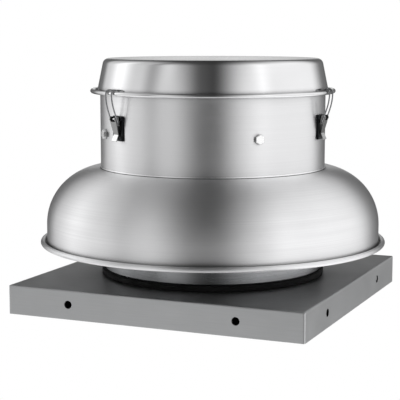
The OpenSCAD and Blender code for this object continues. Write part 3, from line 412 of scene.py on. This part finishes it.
def new_material(name: str) -> tuple[bpy.types.Material, Tree, bpy.types.Node]:
    """Make an empty node material.

    Args:
        name: the material's name.

    Returns:
        The material, its tree and its output node.
    """
    material = bpy.data.materials.new(name)
    material.use_nodes = True
    material.node_tree.nodes.clear()
    return material, material.node_tree, add_node(material.node_tree, "ShaderNodeOutputMaterial")


NECK_HIGHLIGHT = "neck_lip"

# Each finish is keyed by the record's material slot, apart from the neck's lip, a brighter copy of the spun
# aluminium that paints a highlight line.
FINISHES: dict[str, Metal | Coating] = {
    # Painted shade: where a finish has a reach of ambient occlusion, it darkens creases and places near other
    # parts.
    # Folded aluminium sheet as it leaves the mill: even satin, faint rolling lines, painted shade over the
    # deck round the gasket and in the punched holes.
    "curb_cap_metal": Metal(
        "mill_sheet_aluminium", "#B8B9BA", 0.4, Lay.ROLLED, line_mm=1.6, streaks=0.03, clouds=0.04,
        edge_mm=1.4, painted_shade_mm=105, painted_shade_keep=0.08, painted_shade_on_top=True, shaded_holes_mm=(136.0, 23.0, 6.2),
    ),
    # EPDM sponge: dull black with an open skin.
    "gasket_rubber": Coating("epdm_sponge", "#030303", 0.9, grain_mm=1.6, grain_depth_mm=0.05),
    # Spun collar, brushed round: streaky satin, its colour darkened to paint the windband's shade on it.
    "collar_aluminium": Metal(
        "brushed_collar_aluminium", "#ABACAE", 0.28, Lay.SPUN, line_mm=1.0, anisotropy=0.6
    ),
    # Spun windband: satin with fine tool lines round the axis, painted shade in the crease above its bead.
    "spun_aluminium": Metal(
        "spun_aluminium", "#F0F0F1", 0.44, Lay.SPUN, line_mm=0.9, line_depth_mm=0.004, streaks=0.04,
        clouds=0.03, anisotropy=0.95, painted_shade_mm=10, painted_shade_keep=0.2,
    ),
    # The neck's lip: glossier than the spun aluminium, and made brighter with less painted shade to paint a
    # highlight line.
    NECK_HIGHLIGHT: Metal(
        "neck_highlight_aluminium", "#FAFAFB", 0.3, Lay.SPUN, line_mm=0.9, line_depth_mm=0.002,
        streaks=0.02, clouds=0.02, anisotropy=0.7, painted_shade_mm=1.2, painted_shade_keep=0.1,
    ),
    # Rolled drum: fine satin.
    "housing_aluminium": Metal(
        "satin_drum_aluminium", "#DEDEDF", 0.35, Lay.SPUN, line_mm=1.0, line_depth_mm=0.002,
        streaks=0.02, clouds=0.02, anisotropy=0.7, painted_shade_mm=6,
    ),
    # Spun and burnished cap: the glossiest sheet, with painted shade on its bead near the drum.
    "cap_aluminium": Metal(
        "burnished_cap_aluminium", "#DADADB", 0.15, Lay.SPUN, line_mm=0.8, line_depth_mm=0.001,
        streaks=0.02, clouds=0.02, anisotropy=0.7, painted_shade_mm=12, painted_shade_keep=0.15,
    ),
    # Bright plated screws and wires.
    "bright_screw": Metal("bright_plated_screw", "#F4F4F4", 0.24, edge_mm=1.5, painted_shade_mm=4),
    "bail_wire": Metal("bright_spring_wire", "#97989A", 0.22, painted_shade_mm=6, painted_shade_keep=0.12),
    # Stamped stainless lever: satin with rounded edges, a painted highlight on its finger tab and painted
    # shade above it.
    "lever_steel": Metal(
        "satin_stainless", "#FAFAFA", 0.3, line_mm=0.8, edge_mm=0.5, painted_highlight_below_mm=275.5,
        painted_shade_above_tone=0.38,
    ),
    # Latch base plate: dark with a dull shine.
    "latch_base_steel": Metal("dark_latch_plate", "#2C2E30", 0.36, edge_mm=0.4),
    "zinc_steel": Metal("bright_zinc_plate", "#B4B6BA", 0.34, edge_mm=0.4),
    # Enamelled castings: blue-grey with an orange-peel surface.
    "motor_paint": Coating(
        "blue_grey_enamel", "#3C4A55", 0.4, grain_mm=2.2, grain_depth_mm=0.03, coat=0.2, edge_mm=0.8
    ),
    "core_steel": Metal("electrical_steel", "#7C7E81", 0.45, line_mm=0.5, line_depth_mm=0.03),
    "copper_winding": Metal(
        "varnished_copper", "#C07A4A", 0.3, Lay.SPUN, line_mm=1.0, line_depth_mm=0.2, streaks=0.35
    ),
    "ground_steel": Metal("ground_steel", "#BFC1C4", 0.2, edge_mm=0.3),
    "wheel_aluminium": Metal("mill_wheel_aluminium", "#C2C4C6", 0.36, line_mm=1.5, edge_mm=0.3),
    "capacitor_can": Metal("drawn_aluminium_can", "#C4C6C8", 0.28, edge_mm=0.5),
    "switch_box_paint": Coating(
        "grey_enamel", "#8A8D90", 0.42, grain_mm=1.8, grain_depth_mm=0.02, coat=0.15, edge_mm=0.6
    ),
    "toggle_plastic": Coating(
        "red_moulded_nylon", "#B32B20", 0.32, grain_mm=0.8, grain_depth_mm=0.004, mottle=0.04, edge_mm=0.5
    ),
    "cable_jacket": Coating("black_cable_jacket", "#19191A", 0.5, grain_mm=0.8),
    "gland_nylon": Coating("black_gland_nylon", "#232426", 0.45, grain_mm=0.8, edge_mm=0.4),
}


@dataclass
class Outline:
    """A cross-section as [radius, height] points in millimetres, drawn one stretch after another."""

    points: list[Point] = field(default_factory=list)

    def to(self, *points: Point) -> Outline:
        """Add straight stretches.

        Args:
            points: where they end, in order.

        Returns:
            This outline.
        """
        self.points.extend(points)
        return self

    def arc(self, middle: Point, radius: float, start: float, end: float, steps: int) -> Outline:
        """Add an arc.

        Args:
            middle: its centre.
            radius: its radius.
            start: the first angle in degrees, from the outward direction.
            end: the last angle in degrees.
            steps: the number of straight stretches in it.

        Returns:
            This outline.
        """
        for i in range(steps + 1):
            angle = math.radians(start + (end - start) * i / steps)
            self.points.append((middle[0] + radius * math.cos(angle), middle[1] + radius * math.sin(angle)))
        return self


def spin(outline: Outline, steps: int = 256, closed: bool = True) -> bmesh.types.BMesh:
    """Spin a cross-section round Z.

    Args:
        outline: the cross-section.
        steps: the number of steps round the axis.
        closed: whether the outline's last point joins its first one.

    Returns:
        The spun shape, in metres.
    """
    shape = bmesh.new()
    verts = [shape.verts.new((radius * MM, 0, height * MM)) for radius, height in outline.points]
    pairs = list(zip(verts, verts[1:])) + ([(verts[-1], verts[0])] if closed else [])
    edges = [shape.edges.new(pair) for pair in pairs]
    bmesh.ops.spin(
        shape, geom=verts + edges, cent=(0, 0, 0), axis=(0, 0, 1), angle=math.tau, steps=steps, use_merge=True
    )
    bmesh.ops.remove_doubles(shape, verts=shape.verts, dist=WELD_M)
    bmesh.ops.recalc_face_normals(shape, faces=shape.faces)
    return shape


def tube(path: list[Vector], radius: float, sides: int = 14) -> bmesh.types.BMesh:
    """Draw a round wire along a path by extruding a circle from place to place.

    Args:
        path: the middle of the wire, in millimetres.
        radius: the wire's radius in millimetres.
        sides: the number of sides round the wire.

    Returns:
        The closed wire, in metres.
    """
    shape = bmesh.new()
    ways = [(path[min(i + 1, len(path) - 1)] - path[max(i - 1, 0)]).normalized() for i in range(len(path))]
    turn = ways[0].to_track_quat("Z", "Y")
    start = Matrix.Translation(path[0] * MM) @ turn.to_matrix().to_4x4()
    made = bmesh.ops.create_circle(shape, cap_ends=True, segments=sides, radius=radius * MM, matrix=start)
    loop = [edge for edge in shape.edges if edge.verts[0] in made["verts"]]
    for before, here, way, last in zip(path, path[1:], ways[1:], ways):
        grown = bmesh.ops.extrude_edge_only(shape, edges=loop)["geom"]
        verts = [item for item in grown if isinstance(item, bmesh.types.BMVert)]
        loop = [item for item in grown if isinstance(item, bmesh.types.BMEdge)]
        step = last.rotation_difference(way).to_matrix().to_4x4()
        move = Matrix.Translation(here * MM) @ step @ Matrix.Translation(-before * MM)
        bmesh.ops.transform(shape, matrix=move, verts=verts)
    bmesh.ops.contextual_create(shape, geom=loop)
    bmesh.ops.recalc_face_normals(shape, faces=shape.faces)
    return shape


class Workshop:
    """Holds the loaded frame and the built finishes, and puts finished pieces in the scene."""

    def __init__(self, frame: dict) -> None:
        """Build every finish once.
        """
        self.frame = frame
        self.materials = {slot: finish.build() for slot, finish in FINISHES.items()}
        self.slots = {part["node"]: part["material_slot"] for part in frame["record"]["subparts"]}

    def corner(self, node: str) -> tuple[Vector, Vector]:
        """Give a node's lowest and highest corners.

        Args:
            node: the CAD node's name.

        Returns:
            Both corners, in millimetres.
        """
        low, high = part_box(node)
        return low / MM, high / MM

    def add(
        self, name: str, shape: bmesh.types.BMesh, body: str, slot: str, *replaced: str, finish: str = ""
    ) -> bpy.types.Object:
        """Turn a finished shape into a piece that rides on a body.

        Args:
            name: the piece's name.
            shape: its shape, which is freed.
            body: the CAD body that it rides on.
            slot: the record's material slot that it takes its finish from.
            replaced: the CAD nodes that it stands for.
            finish: the finish's key, where it isn't the slot.

        Returns:
            The piece.
        """
        for face in shape.faces:
            face.smooth = True
        for edge in shape.edges:
            edge.smooth = len(edge.link_faces) == 2 and edge.calc_face_angle(0) < SHARP_EDGE
        mesh = bpy.data.meshes.new(name)
        shape.to_mesh(mesh)
        shape.free()
        mesh.materials.append(self.materials[finish or slot])
        piece = bpy.data.objects.new(name, mesh)
        bpy.context.scene.collection.objects.link(piece)
        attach(piece, body)
        if replaced:
            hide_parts(*replaced)
        LOG.info("%s: %d faces, on %s", name, len(mesh.polygons), body)
        return piece

    def dress_nodes(self) -> None:
        """Give each CAD node the finish of its slot."""
        for name, node in self.frame["nodes"].items():
            node.data.materials.clear()
            node.data.materials.append(self.materials[self.slots[name]])
        LOG.info("%d nodes dressed", len(self.frame["nodes"]))


def rolled_edge(
    outline: Outline, wall_r: float, bead: Point, bead_d: float, sheet: float, lean: float
) -> None:
    """Continue a wall's outline down and out into a bead rolled round a wire, and back up its inner side.

    Args:
        outline: the outline so far, which ends on the wall's outer face.
        wall_r: the wall's outer radius where the roll starts.
        bead: the middle of the bead.
        bead_d: the bead's diameter.
        sheet: the sheet's thickness.
        lean: the wall's draft in degrees.
    """
    foot_z = bead[1] - bead_d / 2
    top_z = foot_z + sheet
    middle = (wall_r + ROLL_FILLET, top_z + ROLL_FILLET)
    drop = bead[1] - top_z
    meet = math.degrees(math.asin(drop / (bead_d / 2)))
    outline.arc(middle, ROLL_FILLET, 180 - lean, 270, steps=6)
    outline.arc(bead, bead_d / 2, 180 + meet, -90, steps=22)
    outline.arc(middle, ROLL_FILLET + sheet, 270, 180 - lean, steps=8)


@dataclass
class Windband:
    """The spun windband with its rolled rim, and the thin neck ring that stands on it."""

    shop: Workshop
    dome_r: float = 90.0
    sheet: float = 1.5
    bead_d: float = 7.8
    gap: float = 2.6
    bore_r: float = 125.0
    neck_proud: float = 1.3
    neck_recess: float = 0.6
    neck_soft: float = 0.3

    def build(self) -> None:
        """Make both pieces."""
        low, high = self.shop.corner("windband")
        bead = (high.x - self.bead_d / 2, low.z + self.bead_d / 2)
        wall_r = bead[0] - self.bead_d / 2 - self.gap
        top = high.z
        dome = (wall_r - self.dome_r, top - self.dome_r)
        band = Outline().to((self.bore_r, top)).arc(dome, self.dome_r, 90, 0, steps=48)
        rolled_edge(band, wall_r, bead, self.bead_d, self.sheet, lean=0)
        band.arc(dome, self.dome_r - self.sheet, 0, 90, steps=32).to((self.bore_r, top - self.sheet))
        self.shop.add("windband_shell", spin(band, steps=288), "fan_frame", "spun_aluminium", "windband")
        self.build_neck()

    def build_neck(self) -> None:
        """Make the neck ring: a flat lip with rounded edges between two recessed edges."""
        low, high = self.shop.corner("neck_ring")
        outer, soft = high.x - self.neck_proud, self.neck_soft
        foot_z, head_z = low.z + self.neck_recess, high.z - self.neck_recess
        ring = Outline().to((outer - self.sheet, low.z), (outer, low.z), (outer, foot_z))
        ring.arc((high.x - soft, foot_z + soft), soft, -90, 0, steps=3)
        ring.arc((high.x - soft, head_z - soft), soft, 0, 90, steps=3)
        ring.to((outer, head_z), (outer, high.z), (outer - self.sheet, high.z))
        # The lip takes a brighter copy of the spun aluminium, which paints a highlight line.
        self.shop.add("neck_lip", spin(ring), "fan_frame", "spun_aluminium", "neck_ring", finish=NECK_HIGHLIGHT)


@dataclass
class Drum:
    """The motor housing drum with its turned-in top lip."""

    shop: Workshop
    sheet: float = 1.5
    lip_w: float = 9.0
    bend: float = 2.5

    def build(self) -> None:
        """Make the drum."""
        low, high = self.shop.corner("motor_housing")
        radius, inner = high.x, high.x - self.sheet
        drum = Outline().to((inner, low.z), (radius, low.z))
        drum.arc((radius - self.bend, high.z - self.bend), self.bend, 0, 90, steps=8)
        drum.to((radius - self.lip_w, high.z), (radius - self.lip_w, high.z - self.sheet))
        drum.arc((radius - self.bend, high.z - self.bend), self.bend - self.sheet, 90, 0, steps=6)
        self.shop.add("housing_drum", spin(drum), "fan_frame", "housing_aluminium", "motor_housing")


@dataclass
class Cap:
    """The spun top cap with its drafted wall and rolled bead."""

    shop: Workshop
    foot_d: float = 370.0
    draft: float = 11.5
    edge_r: float = 10.0
    sheet: float = 1.5
    bead_d: float = 7.0
    roll_share: float = 0.4

    def build(self) -> None:
        """Make the cap."""
        low, high = self.shop.corner("top_cap")
        bead = (high.x - self.bead_d / 2, low.z + self.bead_d / 2)
        slope, lean = math.tan(math.radians(self.draft)), math.cos(math.radians(self.draft))
        edge_z = high.z - self.edge_r
        edge = (self.foot_d / 2 - (edge_z - bead[1]) * slope - self.edge_r / lean, edge_z)
        roll_r = self.foot_d / 2 + (bead[1] - low.z - self.sheet) * slope * self.roll_share
        cap = Outline().to((0, high.z)).arc(edge, self.edge_r, 90, self.draft, steps=14)
        rolled_edge(cap, roll_r, bead, self.bead_d, self.sheet, self.draft)
        cap.arc(edge, self.edge_r - self.sheet, self.draft, 90, steps=10).to((0, high.z - self.sheet))
        self.shop.add("cap_shell", spin(cap, closed=False), "cap", "cap_aluminium", "top_cap")


@dataclass
class Inlet:
    """The collar between curb cap and windband, and the sponge gasket under it."""

    shop: Workshop
    sheet: float = 2.0
    foot_w: float = 11.0
    lip_w: float = 8.0
    bend: float = 3.0
    gasket_w: float = 15.0
    gasket_soft: float = 2.0

    def build(self) -> None:
        """Make both pieces."""
        low, high = self.shop.corner("inlet_collar")
        radius, bend, thin = high.x, self.bend, self.bend - self.sheet
        foot, top = (radius - bend, low.z + bend), (radius - bend, high.z - bend)
        collar = Outline().to((radius - self.foot_w, low.z))
        collar.arc(foot, bend, -90, 0, steps=8).arc(top, bend, 0, 90, steps=8)
        collar.to((radius - self.lip_w, high.z), (radius - self.lip_w, high.z - self.sheet))
        collar.arc(top, thin, 90, 0, steps=6).arc(foot, thin, 0, -90, steps=6)
        collar.to((radius - self.foot_w, low.z + self.sheet))
        self.shop.add("collar_shell", spin(collar), "fan_frame", "collar_aluminium", "inlet_collar")
        self.build_gasket()

    def build_gasket(self) -> None:
        """Make the gasket, with a rounded outer edge."""
        low, high = self.shop.corner("base_gasket")
        inner, soft = high.x - self.gasket_w, self.gasket_soft
        ring = Outline().to((inner, low.z)).arc((high.x - soft, low.z + soft), soft, -90, 0, steps=5)
        ring.arc((high.x - soft, high.z - soft), soft, 0, 90, steps=5).to((inner, high.z))
        self.shop.add("gasket_ring", spin(ring), "fan_frame", "gasket_rubber", "base_gasket")


@dataclass
class LatchWires:
    """The three wire bails, each one smooth bent wire."""

    shop: Workshop
    wire_d: float = 2.2
    foot: Point = (186.4, 292.3)
    foot_w: float = 18.0
    hook_w: float = 15.8
    hook_u: float = 189.3
    outer_u: float = 198.3
    top_z: float = 343.5
    bend_r: float = 6.0
    corner_r: float = 3.0
    pin_end: float = 3.2
    pin_start: float = 1.2
    rise_steps: int = 16
    bend_steps: int = 8
    corner_steps: int = 6
    angles: tuple[float, ...] = (0.0, 120.0, 240.0)

    def half(self) -> list[Vector]:
        """Give one half of the wire's path, from its pin to the middle of the hook bar.

        Returns:
            Its points, in millimetres.
        """
        shoulder = self.top_z - self.bend_r
        side = self.foot_w / 2
        ends = (side - self.pin_end, side - self.pin_start)
        path = [Vector((self.foot[0], across, self.foot[1])) for across in ends]
        for i in range(1, self.rise_steps + 1):
            t = i / self.rise_steps
            out = self.foot[0] + (self.outer_u - self.foot[0]) * math.sin(math.pi / 2 * t)
            across = side + (self.hook_w / 2 - side) * t
            path.append(Vector((out, across, self.foot[1] + (shoulder - self.foot[1]) * t)))
        for i in range(1, self.bend_steps + 1):
            a = math.pi / 2 * i / self.bend_steps
            out = self.outer_u - self.bend_r * (1 - math.cos(a))
            path.append(Vector((out, self.hook_w / 2, shoulder + self.bend_r * math.sin(a))))
        for i in range(1, self.corner_steps + 1):
            a = math.pi / 2 * i / self.corner_steps
            out = self.hook_u + self.corner_r * (1 - math.sin(a))
            path.append(Vector((out, self.hook_w / 2 - self.corner_r * (1 - math.cos(a)), self.top_z)))
        path.append(Vector((self.hook_u, 0, self.top_z)))
        return path

    def build(self) -> None:
        """Make the three bails."""
        half = self.half()
        mirrored = [Vector((p.x, -p.y, p.z)) for p in reversed(half[:-1])]
        for number, angle in enumerate(self.angles, start=1):
            wire = tube(half + mirrored, self.wire_d / 2)
            turn = Matrix.Rotation(math.radians(angle), 4, "Z")
            bmesh.ops.transform(wire, matrix=turn, verts=wire.verts)
            self.shop.add(f"bail_wire_{number}", wire, f"bail_{number}", "bail_wire", f"latch_bail_{number}")


@dataclass(frozen=True)
class Softbox:
    """A soft bright field of the studio tent, in degrees from the photograph's viewpoint."""

    azimuth: float
    elevation: float
    half_w: float
    half_h: float
    blur_w: float
    blur_h: float
    level: float


@dataclass(frozen=True)
class SideWall:
    """A lit wall of cloth beside the fan: brighter to the side, ending behind, with a dark upright in it."""

    side: int
    start: float
    fade: float
    back: float
    back_fade: float
    level: float
    upright: float = 0.0
    upright_half: float = 4.0
    upright_blur: float = 8.0
    upright_keep: float = 1.0


@dataclass
class Studio:
    """Camera, pale floor, even light, and the tent that the metal reflects."""

    camera_place: Vector = Vector((0.773482, -1.846554, 0.432995))
    camera_turn: Triple = (82.23, 0.0, 23.317)
    lens: float = 111.77
    sensor_w: float = 36.0
    view_end: float = 50.0
    tent_r: float = 9.0
    floor_r: float = 1.5
    floor_sink: float = 0.0002
    floor_shade_and_pale: Point = (0.002, 0.8)
    curb_half: float = 0.238
    world_colour: str = "#F2F3F5"
    world_level: float = 0.75
    lamp_place: Triple = (-1.1, -1.5, 2.4)
    lamp_aim: Triple = (0.0, 0.0, 0.15)
    lamp_size: float = 1.6
    lamp_power: float = 22.0
    base_level: float = 0.06
    side_level: float = 0.21
    gain_low: float = 1.28
    gain_high: float = 0.72
    gain_reach: Point = (0.0, 70.0)
    gain_floor: float = 0.72
    gain_floor_reach: Point = (-12.0, 8.0)
    walls: tuple[SideWall, ...] = (
        SideWall(
            -1, start=0.42, fade=0.46, back=-0.76, back_fade=0.16, level=0.5,
            upright=-64.0, upright_half=7.0, upright_blur=14.0, upright_keep=0.4,
        ),
        SideWall(1, start=0.32, fade=0.6, back=-0.62, back_fade=0.4, level=0.78),
    )
    # Each row: azimuth, elevation, half_w, half_h, blur_w, blur_h, level.
    boxes: tuple[Softbox, ...] = (
        Softbox(-108, 20, 8, 24, 32, 40, 0.9),
        Softbox(-46, 26, 5, 8, 16, 30, 0.28),
        Softbox(4, -22, 12, 14, 18, 16, 0.1),
        Softbox(50, 18, 2, 24, 26, 40, 0.45),
        Softbox(80, 38, 34, 14, 30, 26, 0.3),
        Softbox(180, 10, 7, 14, 14, 16, 0.6),
        Softbox(0, -90, 180, 66, 0.1, 20, 0.75),
    )

    def build(self) -> None:
        """Make the whole studio, camera first."""
        self.build_camera()
        self.build_floor()
        self.build_tent()
        self.build_light()

    def build_camera(self) -> None:
        """Place the camera at the photograph's viewpoint."""
        camera = bpy.data.objects.new("camera", bpy.data.cameras.new("camera"))
        camera.data.lens = self.lens
        camera.data.sensor_width = self.sensor_w
        camera.data.clip_end = self.view_end
        camera.location = self.camera_place
        camera.rotation_euler = [math.radians(angle) for angle in self.camera_turn]
        bpy.context.scene.collection.objects.link(camera)
        bpy.context.scene.camera = camera

    def add_stage(
        self, name: str, shape: bmesh.types.BMesh, material: bpy.types.Material
    ) -> bpy.types.Object:
        """Put a stage piece in the scene.

        Args:
            name: the piece's name.
            shape: its shape, which is freed.
            material: its material.

        Returns:
            The stage piece.
        """
        mesh = bpy.data.meshes.new(name)
        shape.to_mesh(mesh)
        shape.free()
        mesh.materials.append(material)
        piece = bpy.data.objects.new(name, mesh)
        bpy.context.scene.collection.objects.link(piece)
        return piece

    def build_floor(self) -> None:
        """Make the pale floor, which the camera sees white outside the curb cap, and nearly black inside it
        as painted shade for the curb's dark inside.
        """
        shape = bmesh.new()
        bmesh.ops.create_circle(shape, cap_ends=True, segments=96, radius=self.floor_r)
        bmesh.ops.translate(shape, vec=(0, 0, -self.floor_sink), verts=shape.verts)
        material, tree, output = new_material("pale_floor")
        place = add_node(tree, "ShaderNodeTexCoord").outputs["Object"]
        size = add_node(tree, "ShaderNodeVectorMath", {0: place}, operation="ABSOLUTE").outputs[0]
        across = add_node(tree, "ShaderNodeSeparateXYZ", {0: size}).outputs
        away = maths(tree, "MAXIMUM", across["X"], across["Y"])
        outside = maths(tree, "GREATER_THAN", away, self.curb_half)
        white = add_node(tree, "ShaderNodeEmission", {"Color": WHITE, "Strength": 1.0}).outputs[0]
        # Nearly black inside the curb cap, painted shade for its dark inside, and pale outside.
        tone = spread(tree, outside, *self.floor_shade_and_pale, (0, 1))
        paper = add_node(tree, "ShaderNodeBsdfDiffuse", {"Color": tone}).outputs[0]
        share = maths(tree, "MULTIPLY", outside, self.seen_rays(tree))
        mixed = add_node(tree, "ShaderNodeMixShader", {0: share, 1: paper, 2: white}).outputs[0]
        tree.links.new(mixed, output.inputs["Surface"])
        self.add_stage("floor", shape, material).visible_glossy = False

    def seen_rays(self, tree: Tree) -> Socket:
        """Tell the rays that should see plain white from those that carry light.

        Args:
            tree: the node tree.

        Returns:
            A value socket, 1 for camera, glossy and transmission rays, and 0 for the rest.
        """
        rays = add_node(tree, "ShaderNodeLightPath").outputs
        first = maths(tree, "MAXIMUM", rays["Is Camera Ray"], rays["Is Glossy Ray"])
        return maths(tree, "MAXIMUM", first, rays["Is Transmission Ray"])

    def slope(self, tree: Tree, value: Socket, middle: float, width: float, rises: bool = True) -> Socket:
        """Change smoothly between 0 and 1 over a width round a middle.

        Args:
            tree: the tent's node tree.
            value: what is compared with the middle.
            middle: where the result is a half.
            width: the width of the change.
            rises: whether the result is 1 above the middle, not below it.

        Returns:
            A value socket.
        """
        low, high = (0.0, 1.0) if rises else (1.0, 0.0)
        inputs = {
            "Value": value, "From Min": middle - width / 2, "From Max": middle + width / 2,
            "To Min": low, "To Max": high,
        }
        return add_node(tree, "ShaderNodeMapRange", inputs, interpolation_type="SMOOTHSTEP").outputs[0]

    def strip(self, tree: Tree, angle: Socket, middle: float, half: float, blur: float) -> Socket:
        """Light a strip of angles with soft edges.

        Args:
            tree: the tent's node tree.
            angle: the angle of each place, in degrees.
            middle: the strip's middle.
            half: how far from the middle the light has fallen to a half.
            blur: the width of its fall.

        Returns:
            A value socket between 0 and 1.
        """
        apart = maths(tree, "ABSOLUTE", maths(tree, "SUBTRACT", angle, middle))
        return self.slope(tree, maths(tree, "PINGPONG", apart, 180.0), half, blur, rises=False)

    def wall_light(self, tree: Tree, wall: SideWall, parts: dict[str, Socket], azimuth: Socket) -> Socket:
        """Light one side wall.

        Args:
            tree: the tent's node tree.
            wall: the wall.
            parts: the direction's X, Y and Z.
            azimuth: the direction's angle round Z, in degrees.

        Returns:
            A value socket.
        """
        across = maths(tree, "MULTIPLY", parts["Y"], float(wall.side))
        lit = maths(tree, "MULTIPLY", self.slope(tree, across, wall.start, wall.fade), wall.level)
        lit = maths(tree, "MULTIPLY", lit, self.slope(tree, parts["X"], wall.back, wall.back_fade))
        if wall.upright_keep < 1:
            dark = self.strip(tree, azimuth, wall.upright, wall.upright_half, wall.upright_blur)
            lit = maths(tree, "MULTIPLY", lit, spread(tree, dark, 1.0, wall.upright_keep, (0, 1)))
        return lit

    def build_tent(self) -> None:
        """Make the tent that only reflections see: two side walls, a dark gap between, and soft boxes."""
        shape = bmesh.new()
        bmesh.ops.create_uvsphere(shape, u_segments=48, v_segments=24, radius=self.tent_r)
        bmesh.ops.reverse_faces(shape, faces=shape.faces)
        material, tree, output = new_material("studio_tent")
        place = add_node(tree, "ShaderNodeTexCoord").outputs["Object"]
        way = add_node(tree, "ShaderNodeVectorMath", {0: place}, operation="NORMALIZE").outputs[0]
        parts = add_node(tree, "ShaderNodeSeparateXYZ", {0: way}).outputs
        azimuth = maths(tree, "DEGREES", maths(tree, "ARCTAN2", parts["Y"], parts["X"]))
        elevation = maths(tree, "DEGREES", maths(tree, "ARCSINE", parts["Z"]))
        to_side = maths(tree, "MULTIPLY", maths(tree, "ABSOLUTE", parts["Y"]), self.side_level)
        total = maths(tree, "ADD", to_side, self.base_level)
        for wall in self.walls:
            total = maths(tree, "ADD", total, self.wall_light(tree, wall, parts, azimuth))
        for box in self.boxes:
            wide = self.strip(tree, azimuth, box.azimuth, box.half_w, box.blur_w)
            tall = self.strip(tree, elevation, box.elevation, box.half_h, box.blur_h)
            lit = maths(tree, "MULTIPLY", maths(tree, "MULTIPLY", wide, tall), box.level)
            total = maths(tree, "ADD", total, lit)
        upper = spread(tree, elevation, self.gain_low, self.gain_high, self.gain_reach)
        lower = spread(tree, elevation, self.gain_floor, 1.0, self.gain_floor_reach)
        total = maths(tree, "MULTIPLY", maths(tree, "MULTIPLY", total, upper), lower)
        glow = add_node(tree, "ShaderNodeEmission", {"Color": WHITE, "Strength": total}).outputs[0]
        tree.links.new(glow, output.inputs["Surface"])
        tent = self.add_stage("studio_tent", shape, material)
        tent.rotation_euler.z = math.atan2(self.camera_place.y, self.camera_place.x)
        tent.visible_camera = False
        tent.visible_diffuse = False
        tent.visible_shadow = False

    def build_light(self) -> None:
        """Make the white world and one large soft lamp."""
        world = bpy.data.worlds.new("studio_world")
        bpy.context.scene.world = world
        world.use_nodes = True
        tree = world.node_tree
        tree.nodes.clear()
        light = {"Color": linear(self.world_colour), "Strength": self.world_level}
        even = add_node(tree, "ShaderNodeBackground", light).outputs[0]
        white = add_node(tree, "ShaderNodeBackground", {"Color": WHITE, "Strength": 1.0}).outputs[0]
        mixed = add_node(tree, "ShaderNodeMixShader", {0: self.seen_rays(tree), 1: even, 2: white}).outputs[0]
        add_node(tree, "ShaderNodeOutputWorld", {"Surface": mixed})
        lamp = bpy.data.lights.new("key_softbox", "AREA")
        lamp.shape, lamp.size, lamp.energy = "DISK", self.lamp_size, self.lamp_power
        key = bpy.data.objects.new("key_softbox", lamp)
        key.location = self.lamp_place
        key.rotation_euler = (Vector(self.lamp_aim) - key.location).to_track_quat("-Z", "Y").to_euler()
        key.visible_glossy = False
        bpy.context.scene.collection.objects.link(key)
        bpy.context.scene.view_settings.view_transform = "Standard"


def main() -> None:
    """Load the frame, build the studio, dress the nodes and build every piece in order."""
    logging.basicConfig(level=logging.INFO, format="%(message)s")
    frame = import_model()
    Studio().build()
    shop = Workshop(frame)
    shop.dress_nodes()
    for assembly in (Windband(shop), Drum(shop), Cap(shop), Inlet(shop), LatchWires(shop)):
        assembly.build()


if __name__ == "__main__":
    main()
